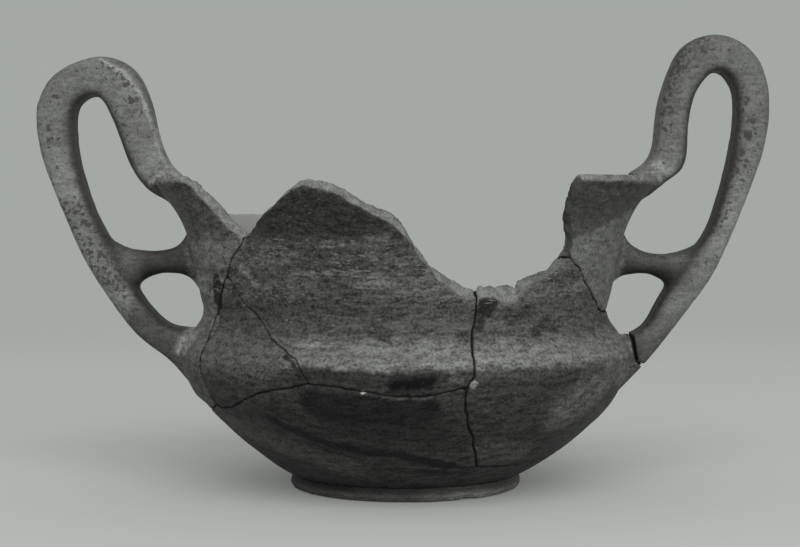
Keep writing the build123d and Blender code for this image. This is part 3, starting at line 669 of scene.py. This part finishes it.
def loop_facing(points, normals):
    """How squarely each point of a handle faces the middle of its openings, from -1 to 1."""
    flat = flattened(points)
    facing = np.zeros(len(points))
    for sign, line in ((-1.0, LEFT_LOOP_LINE), (1.0, RIGHT_LOOP_LINE)):
        _, nearest = nearest_on_line(flat, in_plane(line))
        way = nearest - flat
        way /= np.maximum(np.linalg.norm(way, axis=1), 0.1)[:, None]
        facing = np.where(points[:, 0] * sign > 0.0, np.sum(way * normals, axis=1), facing)
    return facing


def painted(tone, points, marks, where):
    """The tone after each mark in turn: a line or spot of its own tone with a ragged soft edge."""
    ragged = 0.6 * rough(points, 2.6, 46) + 0.45 * noise(points, 0.9, 65)
    for line, half, soft, mark, strength in marks:
        gap = line_distance(points, line) + min(soft, 1.5) * ragged
        tone = mixed(tone, mark, strength * falling(half, half + soft, gap) * where)
    return tone


def handle_tone(points, normals):
    """Pale flat faces, dark slip towards the openings, greyer low down, and painted shade under the
    struts' lit tops.
    """
    flat = flattened(points)
    facing = loop_facing(points, normals)
    tone = np.interp(points[:, 2], HANDLE_HEIGHTS, HANDLE_TONES) * (1.0 + 0.15 * rough(points, 11.0, 48))
    tone = tone * np.where(points[:, 0] > 0.0, RIGHT_HANDLE_SHARE, 1.0)
    marks = [(in_plane(mark[0]), *mark[1:]) for mark in HANDLE_MARKS]
    tone = painted(tone, flat, marks, 1.0)
    tone = mixed(tone, LOOP_SIDE_TONE, smoothstep(0.0, 0.85, facing + 0.12 * noise(points, 3.0, 49)))
    # Painted light on the struts: a lit top over painted shade underneath
    beside = np.abs(points[:, 0])
    strut = smoothstep(66.0, 70.0, beside) * falling(84.0, 97.0, beside)
    strut = strut * falling(4.5, 10.0, np.abs(points[:, 2] - 73.0))
    top = smoothstep(69.5, 75.5, points[:, 2] + 0.8 * noise(points, 3.0, 50))
    strut_lit_tone = np.where(points[:, 0] > 0.0, RIGHT_STRUT_LIT_TONE, LEFT_STRUT_LIT_TONE)
    return mixed(tone, mixed(STRUT_SHADE_TONE, strut_lit_tone, top), strut)


def handle_specks(points):
    """How thickly dark specks lie on the handles: few overall, more at the places listed."""
    flat = flattened(points)
    specks = 0.35 + 0.35 * rough(points, 16.0, 64)
    for places, half, soft, amount in SPECK_PLACES:
        gap = line_distance(flat, in_plane(places)) + 0.7 * noise(points, 2.6, 66)
        specks = np.maximum(specks, amount * falling(half, half + soft, gap))
    return specks


def slip_tone(name, points, angle, banded, patches):
    """The slip's tone by height, times streaks along the turning, clouds, wear and its side's share."""
    uneven = 0.9 * noise(points, 7.0, 41) + 0.7 * noise(points, 2.5, 42) + 0.5 * noise(points, 0.9, 68)
    tone = np.interp(points[:, 2] + uneven, TONE_HEIGHTS, TONES) * SHERD_TONES.get(name, 1.0)
    streaks = noise(points, (30.0, 30.0, 1.3), 43) + 0.6 * noise(points, (14.0, 14.0, 0.6), 44)
    tone = tone * (1.0 + 0.28 * streaks * (0.4 + 0.6 * banded))
    tone = tone * (1.0 + 0.25 * rough(points, 14.0, 45))
    tone = tone * (1.0 + 0.35 * banded * patches)
    return tone * mixed(LEFT_SHARE, RIGHT_SHARE, smoothstep(-115.0, -75.0, angle))


def right_sherd_tone(points, angle):
    """Pale below the sloping DIP_LINE and dark above it, with soft clouds."""
    above_dip = points[:, 2] - np.interp(angle, *zip(*DIP_LINE)) + 0.8 * noise(points, 3.0, 59)
    tone = mixed(RIGHT_SHERD_PALE, RIGHT_SHERD_DARK, smoothstep(-1.0, 1.0, above_dip))
    return tone * (1.0 + 0.2 * rough(points, 8.0, 60))


def break_tone(points, angle, in_crack):
    """Bare clay: pale, greyer towards the right, and near black in the cracks below the open edge."""
    clay = mixed(PALE_CLAY, RIGHT_BREAK, smoothstep(-62.0, -52.0, angle) * (angle < 0.0))
    clay = mixed(clay, DARK_BREAK, (angle > -54.0) & (angle < 0.0) & (points[:, 2] > 76.0))
    below_edge = falling(-3.0, -1.5, points[:, 2] - np.interp(angle, *zip(*FRONT_EDGE)))
    return mixed(clay, CRACK_CLAY, in_crack * below_edge)


def clay_values(surface, name, by_crack, depth, thickness, normals):
    """What the clay material reads at every point of a sherd.

    These are its tone, the share of bare broken clay, how worn it is, how many specks it has, the
    tone of its bare clay, and how strong its grain is.
    """
    points = surface.points
    angle = angle_of(points)
    broken, off_wall = wall_zones(depth, thickness)
    root_gap = line_distance(flattened(points), in_plane(ROOT_BREAK)) + 0.2 * noise(points, 1.5, 31)
    broken = np.maximum(broken, falling(0.35, 0.65, root_gap))
    inner_face = smoothstep(0.5, 0.7, depth / thickness) * (1.0 - broken)
    on_face = (depth < 1.0) * falling(2.0, 3.5, -depth)
    banded = smoothstep(60.0, 66.0, points[:, 2]) * falling(80.0, 84.0, points[:, 2])
    patches = rough(points, np.array((11.0, 11.0, 3.0)), 69)
    right_sherd = (np.abs(angle) < 60.0) * float(name == "right_handle")

    tone = slip_tone(name, points, angle, banded, patches)
    tone = mixed(tone, right_sherd_tone(points, angle), 0.85 * right_sherd)
    marks = [(wall_places(mark[0]), *mark[1:]) for mark in MARKS]
    tone = painted(tone, on_the_wall(points), marks, on_face)
    lip = smoothstep(98.2, 99.3, points[:, 2] + 0.4 * noise(points, 3.0, 63))
    tone = mixed(tone, LIP_TONE, lip * (off_wall < 0.5))
    tone = mixed(tone, INNER_TONE * (1.0 + 0.2 * rough(points, 12.0, 47)), inner_face)
    tone = mixed(tone, handle_tone(points, normals), off_wall)
    tone = mixed(tone, CRACK_TONE, falling(0.35, 0.9, left_crack_gap(points)) * on_face)

    edge = surface.borders(broken, 6)
    worn = mixed(-0.9, 0.2, smoothstep(40.0, 46.0, points[:, 2])) + 0.4 * edge * (points[:, 2] > 60.0)
    worn = worn + (0.75 + 1.1 * patches) * banded * (1.0 - right_sherd)
    crest = np.exp(-((points[:, 2] - 47.5) / 3.5) ** 2)
    return {
        "tone": tone,
        "broken": broken,
        "worn": mixed(worn, -2.0, off_wall),
        "specks": off_wall * handle_specks(points),
        "clay": break_tone(points, angle, surface.blurred(by_crack.astype(float), 2)),
        "grain": mixed((1.3 - 0.3 * crest) * mixed(1.0, 0.75, right_sherd), 0.6, off_wall),
    }


def nearness(points, places, share):
    """1 within a share of the reach of any of the places (x, z, reach), easing to 0 at the reach."""
    near = np.zeros(len(points))
    for x, z, reach in places:
        gap = np.linalg.norm(points - (x, 0.0, z), axis=1)
        near = np.maximum(near, falling(share * reach, reach, gap))
    return near


def soften_handles(surface):
    """Rounds the straps except at the root's break, and fills the corners where they meet the wall."""
    depth, _ = wall_share(surface.points)
    root_gap = line_distance(flattened(surface.points), in_plane(ROOT_BREAK))
    surface.smooth(40, smoothstep(1.0, 4.0, -depth) * smoothstep(1.0, 6.0, root_gap))
    surface.fill_corners(120, 0.5 * nearness(flattened(surface.points), JOINTS, 0.4))
    surface.smooth(60, nearness(surface.points, RIM_ROOTS, 0.5))


# Relief in mm. On the faces: a slight trim, throwing ridges, dents, pits
FACE_TRIM = 0.05
OUTER_RIDGE = 0.1
INNER_RIDGE = 0.25
WALL_DENT = 0.2
HANDLE_DENT = 0.22
HANDLE_GRAIN = 0.07
PIT_DEPTH = 0.12
# On open breaks, and along their edges
BREAK_LUMP = 0.25
BREAK_GRAIN = 0.1
OPEN_CHIP = 0.5
EDGE_WEAR = 0.1
# In the cracks, which close a little, and along the left crack and the hollow at its top
CRACK_CLOSING = 0.22
EDGE_CLOSING = 0.2
CRACK_CHIP = 0.12
CRACK_SUNK = 0.5
HOLLOW_SUNK = 0.6


def shaped(surface, name, handles, cracks):
    """Makes a sherd's breaks jagged and its faces uneven, and returns its values for the material.

    Each point moves along its normal by throwing ridges, dents and pits on the faces, roughness and
    chips at the breaks, and the sunk lines of the cracks.
    """
    surface.smooth(2)
    if handles:
        soften_handles(surface)
    by_crack = cracks[cell_of(surface.points)]
    surface.points = warped(surface.points)
    depth, thickness = wall_share(surface.points)
    surface.points = bent(surface.points)
    points = surface.points
    normals = surface.normals()
    broken, off_wall = wall_zones(depth, thickness)
    inner = smoothstep(0.6, 0.8, depth / thickness)
    ridges = noise(points, (90.0, 90.0, 5.5), 51) * (1.0 - off_wall) * (1.0 - broken)
    push = mixed(OUTER_RIDGE, INNER_RIDGE, inner) * ridges - FACE_TRIM
    push += WALL_DENT * noise(points, 28.0, 52) * (1.0 - broken)
    push += off_wall * (HANDLE_DENT * noise(points, 9.0, 53) + HANDLE_GRAIN * noise(points, 2.5, 54))
    open_break = broken * (1.0 - by_crack)
    push += open_break * (BREAK_LUMP * noise(points, 2.0, 55) + BREAK_GRAIN * noise(points, 0.9, 56))
    push += CRACK_CLOSING * broken * by_crack
    edge = surface.borders(broken, 5)
    push += EDGE_CLOSING * edge * by_crack
    chips = smoothstep(0.15, 0.6, noise(points, 3.2, 57)) * edge
    push -= mixed(OPEN_CHIP, CRACK_CHIP, by_crack) * chips + EDGE_WEAR * edge * (1.0 - by_crack)
    pits = smoothstep(0.62, 0.85, noise(points, 1.6, 58)) * (1.0 - broken)
    push -= PIT_DEPTH * pits
    hollow_gap = line_distance(on_the_wall(points), wall_places(HOLLOW_AT_CRACK))
    sunk = CRACK_SUNK * falling(0.3, 0.9, left_crack_gap(points))
    sunk += HOLLOW_SUNK * falling(1.0, 3.2, hollow_gap)
    push -= sunk * (depth < 1.0) * (depth > -3.5)
    surface.points = points + normals * push[:, None]
    return clay_values(surface, name, by_crack, depth, thickness, normals)


class Wire:
    """An output of a shader node. Sums and products with it add the Math nodes they need."""

    def __init__(self, graph, socket):
        self.graph = graph
        self.socket = socket

    def __add__(self, other):
        return self.graph.math("ADD", self, other)

    __radd__ = __add__

    def __sub__(self, other):
        return self.graph.math("SUBTRACT", self, other)

    def __rsub__(self, other):
        return self.graph.math("SUBTRACT", other, self)

    def __mul__(self, other):
        return self.graph.math("MULTIPLY", self, other)

    __rmul__ = __mul__


class Graph:
    """The shader nodes of a material or a world."""

    def __init__(self, owner):
        owner.use_nodes = True
        self.owner = owner
        self.tree = owner.node_tree
        self.tree.nodes.clear()

    def node(self, kind, settings, sockets, output=0):
        """Adds a node with its settings and its sockets' values or links, and returns its output."""
        made = self.tree.nodes.new(kind)
        for key, value in settings.items():
            setattr(made, key, value)
        for key, value in sockets.items():
            if isinstance(value, Wire):
                self.tree.links.new(value.socket, made.inputs[key])
            else:
                made.inputs[key].default_value = value
        return Wire(self, made.outputs[output]) if len(made.outputs) else None

    def math(self, operation, first, second):
        """One sum, difference or product."""
        return self.node("ShaderNodeMath", {"operation": operation}, {0: first, 1: second})

    def attribute(self, name):
        """A value that the mesh holds at each of its points."""
        return self.node("ShaderNodeAttribute", {"attribute_name": name}, {}, "Fac")

    def place(self):
        """The place on the object, in metres."""
        return self.node("ShaderNodeTexCoord", {}, {}, "Object")

    def noise(self, wavelength, detail=2.0, flat=1.0):
        """Noise from 0 to 1 on the object's own coordinates, drawn out sideways where flat is over 1."""
        drawn = {0: self.place(), 1: (1.0, 1.0, flat)}
        place = self.node("ShaderNodeVectorMath", {"operation": "MULTIPLY"}, drawn)
        sockets = {"Vector": place, "Scale": 1.0 / (wavelength * MM), "Detail": detail}
        return self.node("ShaderNodeTexNoise", {}, sockets, "Fac")

    def mottle(self, wavelength, detail=2.0, flat=1.0):
        """Noise with strong contrast, from 0 to 1."""
        return self.step(self.noise(wavelength, detail, flat), 0.32, 0.68)

    def step(self, value, low, high, start=0.0, end=1.0):
        """A smooth step from start below low to end above high."""
        sockets = {"Value": value, "From Min": low, "From Max": high, "To Min": start, "To Max": end}
        return self.node("ShaderNodeMapRange", {"interpolation_type": "SMOOTHSTEP"}, sockets)

    def blend(self, share, first, second):
        """The first value at share 0, the second at share 1."""
        return self.node("ShaderNodeMix", {"data_type": "FLOAT"}, {0: share, 2: first, 3: second})

    def colour(self, tint, tone):
        """A tint scaled by a tone."""
        return self.node("ShaderNodeVectorMath", {"operation": "SCALE"}, {0: tint, "Scale": tone})

    def bump(self, strength, reach, height):
        """Normals tilted by a height from about 0 to 1, which stands for a reach in millimetres."""
        sockets = {"Strength": strength, "Distance": reach * MM, "Height": height}
        return self.node("ShaderNodeBump", {}, sockets)

    def surface(self, sockets):
        """Ends a material in a plain surface with these sockets, and returns the material."""
        shader = self.node("ShaderNodeBsdfPrincipled", {}, sockets)
        self.node("ShaderNodeOutputMaterial", {}, {"Surface": shader})
        return self.owner


# A slight green, which every tone is scaled by
CLAY_TINT = (0.975, 1.0, 0.94)


def clay_material(name):
    """Thin dark slip over pale clay: toned by attribute, mottled, flaked where worn, bare at breaks."""
    graph = Graph(bpy.data.materials.new(name))
    keys = ("tone", "broken", "worn", "specks", "clay", "grain")
    tone, broken, worn, specks, clay, grain = [graph.attribute(key) for key in keys]
    drawn = graph.mottle(4.5, 3.0, 3.5) - 0.5
    fine = graph.mottle(0.9, 2.0, 1.2) - 0.5
    slip = tone * (1.0 + grain * (drawn * 0.55 + fine * 0.6))
    flakes = graph.step(graph.noise(2.2, 4.0, 3.5) + worn * 0.11, 0.66, 0.74)
    slip = graph.blend(flakes * 0.6, slip, FLAKE_TONE)
    dark = graph.step(graph.noise(1.4, 4.0) + specks * 0.11, 0.67, 0.71)
    slip = graph.blend(dark * 0.8, slip, SPECK_TONE)
    pits = graph.step(graph.noise(0.8, 2.0), 0.27, 0.33, 1.0, 0.0)
    slip = slip * (1.0 - 0.5 * pits)
    bare = clay * (0.6 + 0.4 * graph.mottle(0.7, 3.0) + 0.4 * graph.mottle(2.8, 3.0))
    return graph.surface({
        "Base Color": graph.colour(CLAY_TINT, graph.blend(broken, slip, bare)),
        "Roughness": graph.blend(broken, 0.6, 0.95),
        "Specular IOR Level": 0.12,
        "Normal": graph.bump(0.5, 0.12, graph.noise(0.7, 3.0) * 0.6 + graph.noise(2.5, 3.0)),
    })


def plaster_material(name):
    """Smooth pale filler with faint clouds and pinholes."""
    graph = Graph(bpy.data.materials.new(name))
    tone = FILL_TONE * (0.85 + 0.3 * graph.noise(9.0, 3.0))
    pinholes = graph.step(graph.noise(1.1, 1.0), 0.24, 0.3, 1.0, 0.0)
    return graph.surface({
        "Base Color": graph.colour(CLAY_TINT, tone * (1.0 - 0.3 * pinholes)),
        "Roughness": 0.85,
        "Normal": graph.bump(0.4, 0.1, graph.noise(1.5, 3.0)),
    })


def glue_material(name):
    """Old brown-black glue, a little shiny, with crumbs of clay in it."""
    graph = Graph(bpy.data.materials.new(name))
    crumbs = graph.step(graph.noise(1.0, 2.0), 0.62, 0.7)
    tone = graph.attribute("tone") * graph.blend(crumbs, 1.0, 3.0)
    return graph.surface({
        "Base Color": graph.colour(CLAY_TINT, tone),
        "Roughness": 0.8,
        "Specular IOR Level": 0.1,
    })


CLAY = clay_material("clay")
PLASTER = plaster_material("plaster")
GLUE = glue_material("glue")

# The sherds: name, the CAD nodes each stands for, the size of its mesh's faces in mm, and whether
# clay of a handle is on it
SHERDS = [
    ("left_handle", ["left_handle_sherd", "left_handle_strap", "left_handle_strut"], 0.55, True),
    ("right_handle", ["right_handle_sherd", "right_handle_strap", "right_handle_strut"], 0.55, True),
    ("right_body", ["right_body_sherd"], 0.55, True),
    ("base", ["base_sherd"], 0.65, False),
    ("front_peak", ["front_peak_sherd"], 0.45, False),
    ("left_shoulder", ["left_shoulder_sherd"], 0.4, False),
    ("back_right", ["back_right_sherd"], 0.65, False),
]

# The glue films: the size of their faces, how far they lie below the outer face, and their tones.
# The film at the right handle's root is a little smaller than in the model
FILM_VOXEL = 0.28
FILM_DEPTH = 0.35
FILM_TONE = 0.005
FILM_TONES = {"left_shoulder_film": 0.02}
ROOT_FILM_SHARE = 0.9


def make_films():
    """The glue in the joins. Returns the grid of the cells beside it, which lie by a crack."""
    films = {}
    for node in sorted(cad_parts):
        if node.endswith("_glue"):
            films[node] = remade([node], node, FILM_VOXEL)
    cracks = cells_around(np.concatenate([film.points for film in films.values()]))
    for node, film in films.items():
        name = node[:-len("glue")] + "film"
        if name == "right_root_film":
            middle = film.points.mean(0)
            film.points = middle + (film.points - middle) * ROOT_FILM_SHARE
        film.points = warped(film.points)
        depth, _ = wall_share(film.points)
        inwards = FILM_DEPTH * falling(0.2, 1.4, depth) / radius_of(film.points)
        film.points[:, :2] *= (1.0 - inwards)[:, None]
        film.points = bent(film.points)
        film.points += film.normals() * (0.05 * noise(film.points, 1.2, 62))[:, None]
        tone = np.full(film.count, FILM_TONES.get(name, FILM_TONE))
        finished(film, name, [node], GLUE, {"tone": tone})
    return cracks


def make_sherds(cracks):
    """The sherds, each with the handle that it carries."""
    for name, nodes, voxel, handles in SHERDS:
        surface = remade(nodes, name, voxel)
        finished(surface, name, nodes, CLAY, shaped(surface, name, handles, cracks))


# The plaster fill: the size of its faces, its dents, and how far it lies below the clay
FILL_VOXEL = 0.6
FILL_DENT = 0.15
FILL_TRIM = 0.08


def make_fill():
    """The restorer's fill, smoother than the clay."""
    fill = remade(["back_left_fill"], "fill", FILL_VOXEL)
    fill.smooth(2)
    fill.points = bent(warped(fill.points))
    push = FILL_DENT * noise(fill.points, 16.0, 61) - FILL_TRIM
    fill.points += fill.normals() * push[:, None]
    finished(fill, "fill", ["back_left_fill"], PLASTER, {})


# The ring foot as a closed grid: angles round the axis by points round its section
FOOT_TURNS = 720
FOOT_STEPS = 12
FOOT_RING = 0.12
FOOT_DENT = 0.1
FOOT_CHIP = 0.6


def foot_section():
    """The foot's section as (radius, height), once round, with even steps between its corners."""
    edge_middle = FOOT_EDGE_ROUND * (1.0 - 0.5 ** 0.5)
    corners = np.array([
        (FOOT_RADIUS - FOOT_EDGE_ROUND, 0.0), (FOOT_RADIUS - edge_middle, edge_middle),
        (FOOT_RADIUS, FOOT_EDGE_ROUND), (FOOT_NECK_RADIUS + 0.7, 3.1), (FOOT_NECK_RADIUS, FOOT_HEIGHT),
        (FOOT_BORE_RADIUS + FOOT_BORE_TAPER, FOOT_HEIGHT), (FOOT_BORE_RADIUS, 0.0),
    ])
    following = np.roll(corners, -1, axis=0)
    shares = np.arange(FOOT_STEPS) / FOOT_STEPS
    return mixed(corners[:, None], following[:, None], shares[:, None]).reshape(-1, 2)


def foot_grid():
    """The section's points turned round the axis, and the four corners of each face between them."""
    radius, height = foot_section().T
    turn = np.arange(FOOT_TURNS)[:, None] * 2.0 * pi / FOOT_TURNS
    points = np.stack([np.cos(turn) * radius, np.sin(turn) * radius, height + np.zeros_like(turn)], axis=2)
    here = np.arange(FOOT_TURNS * len(radius)).reshape(FOOT_TURNS, len(radius))
    beside = np.roll(here, -1, axis=0)
    quads = np.stack([here, beside, np.roll(beside, -1, axis=1), np.roll(here, -1, axis=1)], axis=2)
    return points.reshape(-1, 3), quads.reshape(-1, 4)


def make_foot():
    """The ring foot: faint rings and dents, chips along its low outer edge, painted shade at its neck,
    painted light low on its right.
    """
    points, quads = foot_grid()
    mesh = bpy.data.meshes.new("foot")
    mesh.from_pydata(points, [], quads)
    foot = Surface(mesh)
    foot.smooth(2)
    low_edge = np.exp(-(foot.points[:, 2] / 1.6) ** 2) * (radius_of(foot.points) > 35.0)
    push = FOOT_RING * noise(foot.points, (60.0, 60.0, 1.5), 71)
    push += FOOT_DENT * noise(foot.points, 8.0, 72) - FOOT_DENT
    push -= FOOT_CHIP * smoothstep(0.3, 0.7, noise(foot.points, 4.0, 73)) * low_edge
    foot.points += foot.normals() * push[:, None]
    angle = angle_of(foot.points)
    # Painted light: paler towards the right and low down, where the foot's flare catches the light, and
    # painted shade at its neck under the bowl
    tone = mixed(LEFT_FOOT_TONE, LIT_RIGHT_FOOT_TONE, smoothstep(-95.0, -55.0, angle) * (angle < 90.0))
    tone = tone * mixed(1.15, 0.4, smoothstep(1.4, 3.6, foot.points[:, 2]))
    tone = tone * (1.0 + 0.25 * rough(foot.points, np.array((12.0, 12.0, 2.0)), 74))
    finished(foot, "foot", ["foot_ring"], CLAY, {
        "tone": tone,
        "broken": 0.5 * smoothstep(0.3, 0.7, noise(foot.points, 4.0, 73)) * low_edge,
        "worn": 0.5 * low_edge - 0.7,
        "specks": np.zeros(foot.count),
        "clay": np.full(foot.count, PALE_CLAY),
        "grain": np.full(foot.count, 0.7),
    })


make_sherds(make_films())
make_fill()
make_foot()

# Stage: floor, light, backdrop and camera, in metres
BACKDROP = (0.376, 0.397, 0.376, 1.0)
FLOOR = (0.565, 0.585, 0.56, 1.0)
FLOOR_HALF = 4.0
# How much of the backdrop's glow the floor has near the cup, and the distances where it grows
SHADOW_LIFT = 0.22
GLOW_START = 0.35
GLOW_END = 1.3
AMBIENT = (0.5, 0.5, 0.5, 1.0)
KEY_WATTS = 36.0
KEY_SIZE = 2.0
KEY_PLACE = (0.22, -1.55, 0.85)
AIM = (0.0, 0.0, 0.07)
# The camera looks level, and its picture is shifted down: lens and sensor in mm, the rest in pixels
CAMERA_PLACE = (-0.0018, -0.564, 0.0891)
LENS = 76.95
SENSOR_WIDTH = 36.0
HORIZON_ABOVE_MIDDLE = 59.5
PICTURE_WIDTH = 800.0


def floor_material():
    """Pale paper with a little of the backdrop's glow, and all of it far off, for the camera only."""
    graph = Graph(bpy.data.materials.new("floor"))
    distance = graph.node("ShaderNodeVectorMath", {"operation": "LENGTH"}, {0: graph.place()}, "Value")
    far = graph.step(distance, GLOW_START, GLOW_END, SHADOW_LIFT, 1.0)
    seen = graph.node("ShaderNodeLightPath", {}, {}, "Is Camera Ray")
    paper = graph.node("ShaderNodeBsdfDiffuse", {}, {"Color": FLOOR})
    glow = graph.node("ShaderNodeEmission", {}, {"Color": BACKDROP})
    shader = graph.node("ShaderNodeMixShader", {}, {0: far * seen, 1: paper, 2: glow})
    graph.node("ShaderNodeOutputMaterial", {}, {"Surface": shader})
    return graph.owner


def make_floor():
    """The floor, a square round the origin."""
    signs = [(-1.0, -1.0), (1.0, -1.0), (1.0, 1.0), (-1.0, 1.0)]
    mesh = bpy.data.meshes.new("floor")
    mesh.from_pydata([(x * FLOOR_HALF, y * FLOOR_HALF, 0.0) for x, y in signs], [], [(0, 1, 2, 3)])
    mesh.materials.append(floor_material())
    floor = placed("floor", mesh)


def make_world():
    """Even grey light from all round, while the camera sees the backdrop."""
    world = bpy.data.worlds.new("world")
    bpy.context.scene.world = world
    graph = Graph(world)
    seen = graph.node("ShaderNodeLightPath", {}, {}, "Is Camera Ray")
    ambient = graph.node("ShaderNodeBackground", {}, {"Color": AMBIENT})
    backdrop = graph.node("ShaderNodeBackground", {}, {"Color": BACKDROP})
    shown = graph.node("ShaderNodeMixShader", {}, {0: seen, 1: ambient, 2: backdrop})
    graph.node("ShaderNodeOutputWorld", {}, {"Surface": shown})


def turned_to(item, target):
    """Turns an object so that it looks from its place at the target."""
    away = np.array(item.location) - np.array(target)
    item.rotation_euler = (np.arctan2(hypot(away[0], away[1]), away[2]), 0.0, atan2(away[0], -away[1]))


def make_key():
    """The main light, large and soft, from in front and above."""
    light = bpy.data.lights.new("key", "AREA")
    light.energy = KEY_WATTS
    light.size = KEY_SIZE
    key = placed("key", light)
    key.location = KEY_PLACE
    turned_to(key, AIM)


def make_camera():
    """The camera of the photo, as fitted to it."""
    lens = bpy.data.cameras.new("camera")
    lens.lens = LENS
    lens.sensor_width = SENSOR_WIDTH
    lens.shift_y = -HORIZON_ABOVE_MIDDLE / PICTURE_WIDTH
    camera = placed("camera", lens)
    camera.location = CAMERA_PLACE
    camera.rotation_euler = (radians(90.0), 0.0, 0.0)
    bpy.context.scene.camera = camera
    bpy.context.scene.view_settings.view_transform = "Standard"


make_floor()
make_world()
make_key()
make_camera()
